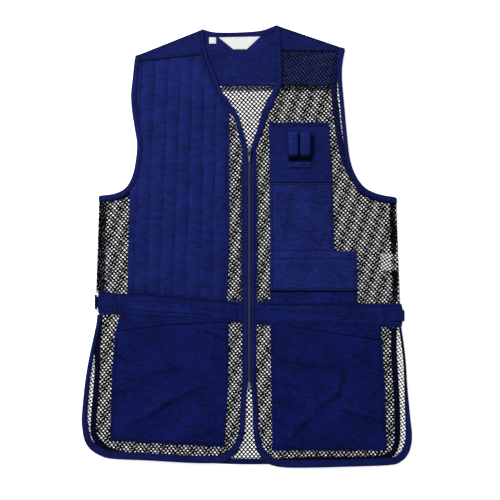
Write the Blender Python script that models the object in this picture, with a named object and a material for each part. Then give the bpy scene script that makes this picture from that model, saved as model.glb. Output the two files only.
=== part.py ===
"""Mesh shooting vest, laid flat on its back, at real size.

The sizes in the tables are millimetres in the plan of the laid garment: +X to the
left front (the wearer's left), +Y to the collar, Z up from the surface that it lies on.
The back is a flat layer on that surface and the fronts lie on it. A cloth piece is a
wall between an inside and an outside, filled between its edges. Where the back or the
yoke turns over a fold to the front, the wall goes round the fold.
"""

import math

import bmesh
import bpy
import numpy as np
from mathutils import Vector
from mathutils.geometry import delaunay_2d_cdt

MM = 0.001

# Walls and levels
SEAM = 0.3
MESH = 1.2
CLOTH = 1.2
BAND = 1.5
BINDING = 2.0
BACK_BINDING = 1.5
LABEL = 0.8
FRONT = 2.4
ON_MESH = MESH + SEAM
ON_PATCH = ON_MESH + CLOTH + SEAM
ON_BAND = BAND + SEAM
FOLD_RADIUS = (FRONT + MESH) / 2
FOLD_LENGTH = 6.0
FOLD_STEPS = 4

# Widths of the sewn bands
ARMHOLE_BAND = 9.6
BACK_HEM_BAND = 9.0
NECK_BAND = 8.0
NECK_END = 1.1

# Spacing of the points
PITCH = 20.0
EDGE_STEP = 14.0

# Broad waves of the fronts over the back. Columns: start x, y, end x, y, height, width
WAVES = (
    (-150, 60, -120, 250, 1.5, 45),
    (-205, -175, -150, -330, 2.2, 40),
    (-60, -150, -90, -340, 1.8, 38),
    (90, -160, 60, -330, 2.0, 40),
    (195, -190, 150, -350, 2.2, 42),
    (110, 40, 130, 230, 1.4, 45),
    (215, 55, 190, -60, 1.6, 36),
    (-228, 50, -215, -50, 1.4, 34),
    (-40, -60, -30, 120, 1.0, 34),
)

# Fold edges. Columns: start x, y, end x, y, with the outside on the left of the way
SHOULDER_RIGHT = (-196.0, 332.5, -77.0, 380.0)
SHOULDER_LEFT = (50.0, 387.0, 171.5, 345.6)
SIDE_RIGHT = (-264.4, -77.0, -258.7, 85.0)
SIDE_LEFT = (261.0, 85.0, 268.0, -100.0)
SEAM_IN_RIGHT = 6.0
SEAM_IN_LEFT = 10.0

# Armhole edges, from the shoulder to the side. Columns: x, y
ARMHOLE_RIGHT = (
    (-196.0, 332.5), (-200, 296), (-203, 264), (-201, 235), (-196, 203), (-192.5, 180),
    (-194, 155), (-200, 125), (-212, 103), (-232, 92.5), (-258.5, 89),
)
ARMHOLE_LEFT = (
    (171.5, 345.6), (166.5, 317), (166, 290), (169, 255), (175, 191), (180, 152),
    (189, 126), (205, 104), (229, 92), (261.5, 86),
)
BACK_ARMHOLE_RIGHT = (
    (-196.0, 332.5), (-188, 314), (-183, 290), (-182, 262), (-185, 232), (-187, 200),
    (-183, 165), (-186, 140), (-196, 115), (-212, 98), (-234, 90), (-258.5, 88),
)
BACK_ARMHOLE_LEFT = (
    (171.5, 345.6), (164, 328), (159, 299), (157.5, 269), (161, 238), (165, 203),
    (171, 168), (180, 141), (195, 114), (211, 97), (234, 88), (261.5, 84),
)

# Neck edge of each front, from the shoulder to the zip. Columns: x, y, band width
NECK_RIGHT = (
    (-77, 380, 5), (-73.5, 352, 5), (-69.5, 334, 6), (-63, 318, 8), (-55, 298, 8),
    (-43, 270, 8), (-30, 252, 8), (-19, 236, 8), (-12, 220, 8), (-7, 203, 8.5),
    (-2, 185, 9), (1.0, 171.5, 9),
)
NECK_LEFT = (
    (50, 387, 8), (52, 340, 8), (52.5, 292, 9), (44.5, 273, 11), (35, 255, 12),
    (27, 238, 12), (21.5, 220, 11), (17, 203, 10), (11, 186, 9.5), (6.5, 171.5, 9),
)
BACK_NECK = (
    (-77, 380), (-65, 376.3), (-52, 374.5), (-26, 374.3), (5, 375.5), (26, 378),
    (39, 382.3), (50, 387),
)

# Edges of the yoke on the fronts and on the back. Columns: x, y
YOKE_SEAM_RIGHT = ((-195, 321), (-135, 329), (-60, 337))
YOKE_SEAM_LEFT = ((45, 341), (180, 341))
YOKE_BACK_Y = 280.0

# Waistband edges. Columns: x, y
WAIST_TOP_RIGHT = ((-258, -77), (-231, -83), (-187, -84), (-100, -92), (-8, -98))
WAIST_LOW_RIGHT = ((-258, -116.5), (-224, -118), (-117, -126), (-8, -133))
WAIST_TOP_LEFT = ((15.5, -98), (93, -99.7), (268, -101.5))
WAIST_LOW_LEFT = ((15.5, -134.7), (75, -138), (268, -140))
WAIST_TOP_BACK = ((-262, -78), (-130, -92), (0, -97), (266, -101))
WAIST_LOW_BACK = ((-262, -117), (-130, -127), (0, -133), (266, -140))

# Vent and hem edge of each front, from the waist round to the zip. Columns: x, y, width
HEM_RIGHT = (
    (-259.5, -118, 6), (-268, -157, 7), (-276, -194, 7), (-283, -236, 8),
    (-288, -285, 9), (-289, -308, 10), (-284.5, -337, 11), (-275, -353, 12),
    (-258, -364.5, 12), (-235, -371, 12), (-170, -374, 12), (-100, -378, 12),
    (-58, -378.5, 12), (-40, -376, 12), (-27, -368, 12), (-16, -356, 11),
    (-8, -340, 10), (-3.5, -316, 9), (-1.8, -280, 9), (0.4, -243.5, 9),
)
HEM_LEFT = (
    (269.5, -141.5, 6), (274, -173, 7), (277.5, -205, 7), (280, -245, 8),
    (285, -298, 9), (288, -325, 10), (287, -345, 11), (281, -363, 12),
    (269, -375.5, 12), (248, -382, 12), (163, -385, 12), (100, -386.5, 12),
    (66, -386, 12), (45, -382.5, 12), (29, -375, 12), (18.5, -358, 11),
    (13, -339, 10), (10.5, -315, 9), (9.5, -280, 9), (7.3, -243.5, 9),
)
HEM_BACK = (
    (-262, -119), (-266, -164), (-267, -217), (-270, -262), (-273.5, -305),
    (-273, -328), (-266, -344), (-250, -357), (-225, -366), (-195, -371),
    (-100, -377), (-20, -380.5), (40, -380.5), (110, -378), (200, -377),
    (238, -374.5), (256, -366), (265, -350), (268, -325), (267, -275),
    (264, -225), (261.5, -175), (262, -142),
)

# Zip and its plackets
ZIP_X = 3.75
ZIP_GAP = 5.1
PLACKET = 8.9
ZIP_TOP = 171.2
ZIP_LOW = -243.2
TAPE = 0.6
TAPE_LEVEL = 1.5
TAPE_WIDTH = 8.0
CHAIN_WIDTH = 4.5
CHAIN_HEIGHT = 2.5
BOX_LENGTH = 13.0
SLIDER = (8.0, 15.0, 2.4)
SLIDER_Y = 162.5
SLIDER_Z = 4.7
EAR = (1.2, 4.0, 3.4)
PULL_PIN = 1.3
PULL_LIFT = 1.6
PULL = (4.6, 20.0, 1.2)

# Quilted pad. Stitch lines, columns: x at the top station, x at the low station
QUILT_TOP_Y = 290.0
QUILT_LOW_Y = -60.0
QUILT_LINES = (
    (-206, -220), (-184, -198), (-162, -175), (-139, -151.5), (-117, -129.5),
    (-96, -107), (-75, -82), (-54, -61), (-33, -40),
)
QUILT_RIGHT = ((-30.6, 225), (-30.6, 10), (-31.5, -24), (-35, -93.5))
QUILT_LEFT = ((-205, 84), (-206.5, 40), (-209, -83))
QUILT_BASE = 1.6
QUILT_RISE = 2.4
QUILT_EDGE = 7.0
QUILT_ROW = 26.0
QUILT_SHAPE = (0.0, 0.8, 1.0, 0.8)

# Lower pockets. Columns: x, y. The mouth edge is of the front sheet
POCKET_RIGHT = ((-230, -155), (-236, -220), (-239, -339), (-150, -344), (-39.5, -350))
POCKET_RIGHT_IN = ((-39.5, -350), (-33, -250), (-31.5, -133))
MOUTH_RIGHT = ((-230, -149.5), (-135, -137.5), (-31.5, -132.5))
POCKET_LEFT = ((44.5, -356), (43, -270), (41, -141))
POCKET_LEFT_OUT = ((44.5, -356), (243, -355), (240, -240), (234.5, -160))
MOUTH_LEFT = ((41, -138), (75, -140.5), (155, -153.5), (234.5, -165))

# Chest patch, its pocket and the flapped pocket. Columns: y, left x, right x
CHEST_PATCH = ((216, 38.5, 142), (150, 39.5, 147), (-7.5, 41, 152.5))
CHEST_POCKET = ((110, 41, 148), (40, 41, 150.5), (-7.5, 41, 152.5))
FLAP_BODY = ((-8.5, 41, 191.5), (-50, 41, 192), (-97.5, 41, 192))
POCKET_FLAP = ((-8.5, 40.5, 191.5), (-40, 40, 192), (-76, 40.5, 192))

# Tubes for two shells. Columns: y, width, height, of the tube along its length
TUBE_X = (80.4, 101.4)
TUBE_WALL = 1.5
TUBE_ROWS = ((198, 19.6, 12.0), (184, 19.2, 11.6), (168, 19.4, 11.0), (156, 18.0, 8.0))
TUBE_END = (151.5, 17.0, 4.0)
TUBE_POINTS = 14
TUBE_BASE = ((72, 151), (111, 151), (111, 137), (72, 137))

# Labels. Columns: x, y
NECK_LABEL = ((-49.7, 365.4), (23.1, 367), (-0.5, 344.6), (-24.2, 344.6))
SIZE_LABEL = ((-66.5, 365.5), (-54.3, 365.5), (-54.3, 354.5), (-66.5, 354.5))
CARE_LABEL = ((233, -12), (262, -12), (262, -42), (233, -42))

# Waist straps. Columns: y high, y low, x of the end on the front, x of the end behind
STRAP_RIGHT = (-87.5, -106.0, -234.5, -238.0)
STRAP_LEFT = (-111.0, -130.5, 250.0, 246.0)
STRAP = 1.2
STRAP_STEP = 4
STRAP_EDGE_RIGHT = -264.0
STRAP_EDGE_LEFT = 275.0
KEEPER = (2.0, 26.0, 7.5)

MATERIALS = {
    "mesh": ((0.012, 0.012, 0.016, 1), 0.8, 0.0),
    "cloth": ((0.02, 0.035, 0.16, 1), 0.75, 0.0),
    "binding": ((0.016, 0.022, 0.10, 1), 0.8, 0.0),
    "elastic": ((0.02, 0.03, 0.14, 1), 0.8, 0.0),
    "webbing": ((0.012, 0.012, 0.018, 1), 0.8, 0.0),
    "label": ((0.8, 0.8, 0.8, 1), 0.7, 0.0),
    "metal": ((0.35, 0.35, 0.36, 1), 0.35, 0.9),
    "zip": ((0.03, 0.033, 0.036, 1), 0.5, 0.0),
}


def clear_scene():
    for obj in list(bpy.data.objects):
        bpy.data.objects.remove(obj, do_unlink=True)


def make_materials():
    made = {}
    for name, (colour, roughness, metallic) in MATERIALS.items():
        material = bpy.data.materials.new(name)
        material.use_nodes = True
        shader = material.node_tree.nodes["Principled BSDF"]
        shader.inputs["Base Color"].default_value = colour
        shader.inputs["Roughness"].default_value = roughness
        shader.inputs["Metallic"].default_value = metallic
        made[name] = material
    return made


def xy(rows):
    return np.array([row[:2] for row in rows], float)


def smooth(rows, step=EDGE_STEP):
    """A curve through the rows of a table, with a point about every step."""
    knots = np.array(rows, float)
    padded = np.vstack([2 * knots[0] - knots[1], knots, 2 * knots[-1] - knots[-2]])
    out = [knots[0]]
    for i in range(len(knots) - 1):
        before, start, end, after = padded[i : i + 4]
        count = max(1, round(np.linalg.norm((end - start)[:2]) / step))
        for t in np.linspace(0, 1, count + 1)[1:]:
            out.append(
                0.5
                * (
                    2 * start
                    + (end - before) * t
                    + (2 * before - 5 * start + 4 * end - after) * t**2
                    + (3 * start - before - 3 * end + after) * t**3
                )
            )
    return np.array(out)


def straight(rows, step=PITCH):
    """The straight lines between the rows of a table, with a point about every step."""
    knots = xy(rows)
    out = [knots[0]]
    for start, end in zip(knots[:-1], knots[1:]):
        count = max(1, round(np.linalg.norm(end - start) / step))
        out += [start + (end - start) * k / count for k in range(1, count + 1)]
    return np.array(out)


def left_of(path):
    """Unit normals on the left of a path."""
    way = np.gradient(path[:, :2], axis=0)
    way /= np.linalg.norm(way, axis=1)[:, None]
    return np.column_stack([-way[:, 1], way[:, 0]])


def beside(path, gap):
    """The path moved to its left by gap, a number or one for each point."""
    return path[:, :2] + left_of(path) * np.reshape(gap, (-1, 1))


def cut(path, axis, limit, above):
    """The part of a path on one side of a level of x (axis 0) or y (axis 1)."""
    out = []
    for i, point in enumerate(path):
        keeps = (point[axis] > limit) == above
        if i:
            last = path[i - 1]
            if ((last[axis] > limit) == above) != keeps:
                share = (limit - last[axis]) / (point[axis] - last[axis])
                out.append(last + (point - last) * share)
        if keeps:
            out.append(point)
    return np.array(out)


def level_at(rows, x):
    """y at x on the line through the rows of a table."""
    points = xy(rows)
    return float(np.interp(x, points[:, 0], points[:, 1]))


def edge_between(rows, start, end, step=PITCH):
    """The line of a table from x start to x end, through the rows between them."""
    count = max(1, round(abs(end - start) / step))
    places = list(np.linspace(start, end, count + 1))
    low, high = sorted((start, end))
    knots = [row[0] for row in rows if low + 0.2 * step < row[0] < high - 0.2 * step]
    places = [x for x in places if all(abs(x - k) > 0.2 * step for k in knots)]
    places = sorted(places + knots, reverse=end < start)
    return np.array([(x, level_at(rows, x)) for x in places])


def wave(x, y):
    """Height of the fronts' waves over the plan."""
    total = 0.0
    for x0, y0, x1, y1, height, width in WAVES:
        way = np.array((x1 - x0, y1 - y0), float)
        along = ((x - x0) * way[0] + (y - y0) * way[1]) / (way @ way)
        near = min(max(along, 0.0), 1.0)
        away = math.hypot(x - x0 - near * way[0], y - y0 - near * way[1])
        total += height * math.exp(-((away / width) ** 2))
    return total


class Fold:
    """A fold edge, where the wall of the back turns over to the front."""

    def __init__(self, row):
        self.start = np.array(row[:2], float)
        way = np.array(row[2:], float) - self.start
        self.way = way / np.linalg.norm(way)
        self.out = np.array((-self.way[1], self.way[0]))
        self.length = float(np.linalg.norm(way))

    def beyond(self, point):
        """How far a point lies past the line where the fold begins."""
        return float((point[:2] - self.start) @ self.out) + FOLD_RADIUS

    def foot(self, point):
        return point[:2] - self.out * self.beyond(point)

    def unfold(self, point):
        """Where a point of the front layer lies when the fold is opened flat."""
        inside = -self.beyond(point)
        return point[:2] + self.out * (2 * inside + FOLD_LENGTH)

    def refold(self, point):
        """The plan place of an opened point and its angle, 0 on the front, pi behind."""
        past = self.beyond(point)
        if past <= 1e-6:
            return np.array(point[:2]), math.pi
        if past < FOLD_LENGTH - 1e-6:
            return point[:2] - self.out * past, math.pi * (1 - past / FOLD_LENGTH)
        return point[:2] - self.out * (2 * past - FOLD_LENGTH), 0.0

    def lines(self, reach=30.0):
        """The lines along the fold that its wall needs points on."""
        rows = []
        for k in range(FOLD_STEPS + 1):
            out = self.out * (k * FOLD_LENGTH / FOLD_STEPS - FOLD_RADIUS)
            first = self.start - self.way * reach + out
            last = self.start + self.way * (self.length + reach) + out
            rows.append((first, last))
        return rows


def stand(place, angle, out, thick, rise=0.0, back_thick=None):
    """The inside and outside points of a wall at a place of the plan."""
    back_thick = thick if back_thick is None else back_thick
    front_in = FRONT + rise + wave(*place)
    front_out = front_in + thick
    behind = (1 - math.cos(angle)) / 2
    side = math.sin(angle) / 2
    inner = place + out * side * (front_in - back_thick)
    outer = place + out * side * front_out
    z_in = front_in + (back_thick - front_in) * behind
    z_out = front_out * (1 - behind)
    return (*inner, z_in), (*outer, z_out)


def within(points, outline):
    """Which points are inside an outline."""
    inside = np.zeros(len(points), bool)
    for start, end in zip(outline, np.roll(outline, -1, axis=0)):
        crosses = (start[1] > points[:, 1]) != (end[1] > points[:, 1])
        with np.errstate(divide="ignore", invalid="ignore"):
            at = start[0] + (points[:, 1] - start[1]) * (end[0] - start[0]) / (
                end[1] - start[1]
            )
        inside ^= crosses & (points[:, 0] < at)
    return inside


def clearance(points, outline):
    """How far each point is from an outline."""
    best = np.full(len(points), 1e9)
    for start, end in zip(outline, np.roll(outline, -1, axis=0)):
        way = end - start
        share = np.clip(((points - start) @ way) / max(way @ way, 1e-9), 0, 1)
        away = points - start - share[:, None] * way
        best = np.minimum(best, np.linalg.norm(away, axis=1))
    return best


def lattice(outline, pitch=PITCH):
    """Staggered points inside an outline, the same ones for every piece."""
    low, high = outline.min(axis=0), outline.max(axis=0)
    row = pitch * math.sqrt(0.75)
    points = []
    for j in range(math.floor(low[1] / row), math.ceil(high[1] / row) + 1):
        shift = 0.5 * pitch * (j % 2)
        for i in range(math.floor(low[0] / pitch) - 1, math.ceil(high[0] / pitch) + 1):
            points.append((i * pitch + shift, j * row))
    points = np.array(points)
    points = points[within(points, outline)]
    return points[clearance(points, outline) > 0.4 * pitch]


def fill(outline, points=(), lines=()):
    """Triangles that fill an outline, through the points and along the lines."""
    corners = [Vector(p) for p in outline]
    edges = [(i, (i + 1) % len(outline)) for i in range(len(outline))]
    corners += [Vector(p) for p in points]
    for line in lines:
        first = len(corners)
        corners += [Vector(p) for p in line]
        edges += [(first + k, first + k + 1) for k in range(len(line) - 1)]
    flat, _, faces, *_ = delaunay_2d_cdt(corners, edges, [], 1, 1e-4)
    return np.array([tuple(p) for p in flat]), [tuple(f) for f in faces]


def add_mesh(name, points, faces, material):
    """A closed mesh object from points in millimetres."""
    form = bmesh.new()
    made = [form.verts.new([c * MM for c in p]) for p in points]
    for face in faces:
        form.faces.new([made[i] for i in face])
    loose = [v for v in form.verts if not v.link_faces]
    bmesh.ops.delete(form, geom=loose, context="VERTS")
    bmesh.ops.recalc_face_normals(form, faces=form.faces)
    data = bpy.data.meshes.new(name)
    form.to_mesh(data)
    form.free()
    data.materials.append(material)
    obj = bpy.data.objects.new(name, data)
    collection.objects.link(obj)
    return obj


def wall(name, flat, faces, pairs, material):
    """A wall between the inside and outside points over a filled outline."""
    count = len(flat)
    points = [pair[0] for pair in pairs] + [pair[1] for pair in pairs]
    sides = {}
    for a, b, c in faces:
        for edge in ((a, b), (b, c), (c, a)):
            sides[edge] = sides.get(edge, 0) + 1
    solid = [(a, b, c) for a, b, c in faces]
    solid += [(c + count, b + count, a + count) for a, b, c in faces]
    for a, b in sides:
        if (b, a) not in sides:
            solid.append((b, a, a + count, b + count))
    return add_mesh(name, points, solid, material)


def panel(name, outline, material, thick=CLOTH, rise=0.0, plain=False):
    """A piece of the front layer, or on it by rise."""
    inner = () if plain else lattice(outline)
    flat, faces = fill(outline, inner)
    level = np.zeros(2)
    pairs = [stand(p, 0.0, level, thick, rise) for p in flat]
    return wall(name, flat, faces, pairs, material)


def back_panel(name, outline, material, low=0.0, thick=CLOTH):
    """A flat piece of the back layer, or on it from the level low."""
    flat, faces = fill(outline)
    pairs = [((*p, low + thick), (*p, low)) for p in flat]
    return wall(name, flat, faces, pairs, material)


def folded_panel(name, outline, folds, material, thick=CLOTH):
    """A piece of the back layer that turns over its folds to the front."""
    inner = lattice(outline)
    past = np.array([max(f.beyond(p) for f in folds) for p in inner])
    inner = inner[past > FOLD_LENGTH + 0.4 * PITCH] if len(inner) else inner
    lines = [line for fold in folds for line in fold.lines()]
    flat, faces = fill(outline, inner, lines)
    pairs = []
    for point in flat:
        fold = max(folds, key=lambda f: f.beyond(point))
        place, angle = fold.refold(point)
        pairs.append(stand(place, angle, fold.out, thick))
    return wall(name, flat, faces, pairs, material)


def strip(name, stations, material, closed=False):
    """A band whose stations hold the inside and outside points of its two edges."""
    points = [p for (edge, panel_side) in stations for p in (*edge, *panel_side)]
    count = len(stations)
    faces = []
    ring = (0, 1, 3, 2)
    for i in range(count if closed else count - 1):
        here, there = 4 * i, 4 * ((i + 1) % count)
        for k in range(4):
            a, b = ring[k], ring[(k + 1) % 4]
            faces.append((here + a, here + b, there + b, there + a))
    if not closed:
        last = 4 * (count - 1)
        faces.append(tuple(k for k in ring))
        faces.append(tuple(last + k for k in reversed(ring)))
    return add_mesh(name, points, faces, material)


def band_stations(edge, inner, angle, thick, back_thick, rise=0.0):
    """Stations of a band in the front layer (angle 0) or the back layer (pi)."""
    level = np.zeros(2)
    return [
        (
            stand(a[:2], angle, level, thick, rise, back_thick),
            stand(b[:2], angle, level, thick, rise, back_thick),
        )
        for a, b in zip(edge, inner)
    ]


def turn_stations(front, back, out, thick, back_thick, downward):
    """Stations that carry a band round a fold, between its ends before and behind."""
    turns = [math.pi * k / FOLD_STEPS for k in range(1, FOLD_STEPS)]
    if not downward:
        turns.reverse()
    rows = []
    for angle in turns:
        share = (1 - math.cos(angle)) / 2
        ends = [f[:2] + (b[:2] - f[:2]) * share for f, b in zip(front, back)]
        rows.append(
            tuple(stand(p, angle, out, thick, 0.0, back_thick) for p in ends)
        )
    return rows


def armhole_binding(name, front_rows, back_rows, shoulder, side, turn):
    """The binding all round an armhole, over the shoulder and round the side."""
    front, back = smooth(front_rows), smooth(back_rows)
    front_in = beside(front, turn * ARMHOLE_BAND)
    back_in = beside(back, turn * ARMHOLE_BAND)
    for path in (front, front_in, back, back_in):
        path[0] = shoulder.foot(path[0])
        path[-1] = side.foot(path[-1])
    thick = (BINDING, BACK_BINDING)
    before = band_stations(front, front_in, 0.0, *thick)
    behind = band_stations(back, back_in, math.pi, *thick)
    low = turn_stations(
        (front[-1], front_in[-1]), (back[-1], back_in[-1]), side.out, *thick, True
    )
    high = turn_stations(
        (front[0], front_in[0]), (back[0], back_in[0]), shoulder.out, *thick, False
    )
    stations = before + low + behind[::-1] + high
    strip(name, stations, materials["binding"], closed=True)
    return front_in, back_in


def neck_binding(name, rows, shoulder, turn):
    """The binding of a front's neck edge, over the shoulder to the back."""
    path = smooth(rows)
    inner = beside(path, turn * path[:, 2])
    edge = path[:, :2].copy()
    edge[0], inner[0] = shoulder.foot(edge[0]), shoulder.foot(inner[0])
    inner[-1][1] = edge[-1][1]
    ends = (edge[0], inner[0])
    over = turn_stations(ends, ends, shoulder.out, BINDING, BACK_BINDING, False)
    behind = band_stations([edge[0]], [inner[0]], math.pi, BINDING, BACK_BINDING)
    before = band_stations(edge, inner, 0.0, BINDING, BACK_BINDING)
    strip(name, behind + over + before, materials["binding"])
    return inner


def hem_binding(name, rows, turn):
    """The binding of a front's vent, hem and lower front edge."""
    path = smooth(rows)
    inner = beside(path, turn * path[:, 2])
    inner[0][1], inner[-1][1] = path[0][1], path[-1][1]
    stations = band_stations(path, inner, 0.0, BINDING, BACK_BINDING)
    strip(name, stations, materials["binding"])
    return inner


def side_wall(rows, step=PITCH):
    """The outline of a piece given by rows of y, left x and right x."""
    left = straight([(row[1], row[0]) for row in rows], step)
    right = straight([(row[2], row[0]) for row in rows], step)
    top = straight([left[0], right[0]], step)[1:-1]
    low = straight([right[-1], left[-1]], step)[1:-1]
    return np.vstack([left[::-1], top, right, low])


def block(name, size, place, material, bevel=0.0):
    """A bevelled block with its middle at a place, in millimetres."""
    form = bmesh.new()
    bmesh.ops.create_cube(form, size=1.0)
    for vert in form.verts:
        for k in range(3):
            vert.co[k] = (vert.co[k] * size[k] + place[k]) * MM
    if bevel:
        bmesh.ops.bevel(
            form, geom=form.edges[:], offset=bevel * MM, segments=1, affect="EDGES"
        )
    data = bpy.data.meshes.new(name)
    form.to_mesh(data)
    form.free()
    data.materials.append(material)
    obj = bpy.data.objects.new(name, data)
    collection.objects.link(obj)
    return obj


def join_blocks(target, others):
    """Blocks made one solid with the target."""
    for other in others:
        joint = target.modifiers.new(other.name, "BOOLEAN")
        joint.operation = "UNION"
        joint.solver = "EXACT"
        joint.object = other
        collection.objects.unlink(other)
        helpers.objects.link(other)
        other.hide_render = True
        other.display_type = "WIRE"


def prism(name, profile, start, end, axis, material):
    """A profile carried along X (axis 0) or Y (axis 1), in millimetres."""
    points = []
    for at in (start, end):
        for p, q in profile:
            points.append((at, p, q) if axis == 0 else (p, at, q))
    count = len(profile)
    faces = [tuple(range(count)), tuple(range(2 * count - 1, count - 1, -1))]
    for k in range(count):
        n = (k + 1) % count
        faces.append((k, n, n + count, k + count))
    return add_mesh(name, points, faces, material)


def seam_x(fold_row, inset, y):
    """x of the side seam on the front, inset from the fold edge."""
    ends = sorted([(fold_row[1], fold_row[0]), (fold_row[3], fold_row[2])])
    return float(np.interp(y, [e[0] for e in ends], [e[1] for e in ends])) + inset


def right_seam(y):
    return seam_x(SIDE_RIGHT, SEAM_IN_RIGHT, y)


def left_seam(y):
    return seam_x(SIDE_LEFT, -SEAM_IN_LEFT, y)


def wrapped_side(front_in, fold, seam, turn, low):
    """The part of the upper back that lies on the front, opened flat, from top to bottom."""
    top = beside(front_in, turn * 2 * SEAM)
    inward = turn > 0
    limit = seam(top[-1][1])
    top = cut(top, 0, limit, not inward)
    top[-1] = fold.foot(top[-1])
    down = [(seam(y), y) for y in np.linspace(top[0][1], low, 8)[1:]]
    foot = fold.foot(np.array((down[-1][0], low)))
    rows = [*top[::-1], *down, foot]
    return np.array([fold.unfold(np.array(p)) for p in rows])


def build_back(side_folds, armholes):
    (front_r, back_r), (front_l, back_l) = armholes
    right, left = side_folds
    inner_r = cut(beside(back_r, 2 * SEAM), 1, YOKE_BACK_Y - SEAM, False)
    inner_l = cut(beside(back_l, -2 * SEAM), 1, YOKE_BACK_Y - SEAM, False)
    inner_r[-1], inner_l[-1] = right.foot(inner_r[-1]), left.foot(inner_l[-1])
    over_r = wrapped_side(front_r, right, right_seam, 1, -76.5)
    over_l = wrapped_side(front_l, left, left_seam, -1, -100.8)
    low = edge_between(WAIST_TOP_BACK, right.foot(over_r[-1])[0], 264, 60)[1:-1]
    low = low + (0, SEAM)
    outline = np.vstack([inner_r, over_r, low, over_l[::-1], inner_l[::-1]])
    folded_panel("back_mesh_upper", outline, side_folds, materials["mesh"], MESH)

    top = edge_between(WAIST_TOP_BACK, -259, 270, 80)
    bottom = edge_between(WAIST_LOW_BACK, -259, 270, 80)
    notch_r = strap_notch(STRAP_RIGHT, -259, -SEAM)
    notch_l = strap_notch(STRAP_LEFT, 270, SEAM)
    outline = np.vstack([top, notch_l, bottom[::-1], notch_r[::-1]])
    back_panel("back_waistband", outline, materials["cloth"])

    hem = smooth(HEM_BACK)
    inner = beside(hem, BACK_HEM_BAND)
    inner[0][1], inner[-1][1] = hem[0][1], hem[-1][1]
    stations = band_stations(hem, inner, math.pi, BACK_BINDING, BACK_BINDING)
    strip("back_hem_binding", stations, materials["binding"])
    inside = beside(hem, BACK_HEM_BAND + SEAM)
    inside[0][1], inside[-1][1] = hem[0][1], hem[-1][1]
    low = edge_between(WAIST_LOW_BACK, inside[-1][0], inside[0][0], 80) - (0, SEAM)
    outline = np.vstack([inside[1:-1], low])
    back_panel("back_mesh_lower", outline, materials["mesh"], thick=MESH)


def strap_notch(strap, end_x, gap):
    """The notch in the back waistband's end that the strap lies in."""
    high, low, _, behind = strap
    at = behind - gap
    return np.array([
        (end_x, high + SEAM), (at, high + SEAM), (at, low - SEAM), (end_x, low - SEAM),
    ])


def build_yoke(shoulders, armholes, necks):
    """The yoke across the back, over both shoulders to the seams of the fronts."""
    right, left = shoulders
    (front_r, back_r), (front_l, back_l) = armholes
    seam_r = level_at(YOKE_SEAM_RIGHT, -186) + SEAM
    seam_l = level_at(YOKE_SEAM_LEFT, 160) + SEAM
    sleeve_r = cut(beside(front_r, SEAM), 1, seam_r, True)
    sleeve_l = cut(beside(front_l, -SEAM), 1, seam_l, True)
    collar_r = beside(necks[0], -SEAM)
    collar_r = cut(collar_r, 1, level_at(YOKE_SEAM_RIGHT, -76) + SEAM, True)
    collar_l = cut(beside(necks[1], SEAM), 1, seam_l, True)
    under_r = cut(beside(back_r, SEAM), 1, YOKE_BACK_Y + SEAM, True)
    under_l = cut(beside(back_l, -SEAM), 1, YOKE_BACK_Y + SEAM, True)
    for path, fold in (
        (sleeve_r, right), (collar_r, right), (under_r, right),
        (sleeve_l, left), (collar_l, left), (under_l, left),
    ):
        path[0] = fold.foot(path[0])
    hem_r = edge_between(YOKE_SEAM_RIGHT, sleeve_r[-1][0], collar_r[-1][0])
    hem_l = edge_between(YOKE_SEAM_LEFT, collar_l[-1][0], sleeve_l[-1][0])
    over_r = np.vstack([sleeve_r, hem_r[1:-1] + (0, SEAM), collar_r[::-1]])
    over_l = np.vstack([collar_l, hem_l[1:-1] + (0, SEAM), sleeve_l[::-1]])
    over_r = np.array([right.unfold(p) for p in over_r])
    over_l = np.array([left.unfold(p) for p in over_l])
    foot_r, foot_l = collar_r[:1], collar_l[:1]
    neck = square_ended(back_neck_path(), -(NECK_BAND + SEAM))
    outline = np.vstack([under_r[::-1], over_r, foot_r, neck, foot_l, over_l, under_l])
    folded_panel("yoke", outline, shoulders, materials["cloth"])


def back_neck_path():
    """The back neck edge between the two neck bindings."""
    path = smooth(BACK_NECK)
    path = cut(path, 0, BACK_NECK[0][0] + NECK_END, True)
    return cut(path, 0, BACK_NECK[-1][0] - NECK_END, False)


def square_ended(path, gap):
    """A path beside the back neck edge, with its ends straight below the edge's."""
    moved = beside(path, gap)
    moved[0][0], moved[-1][0] = path[0][0], path[-1][0]
    return moved


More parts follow.
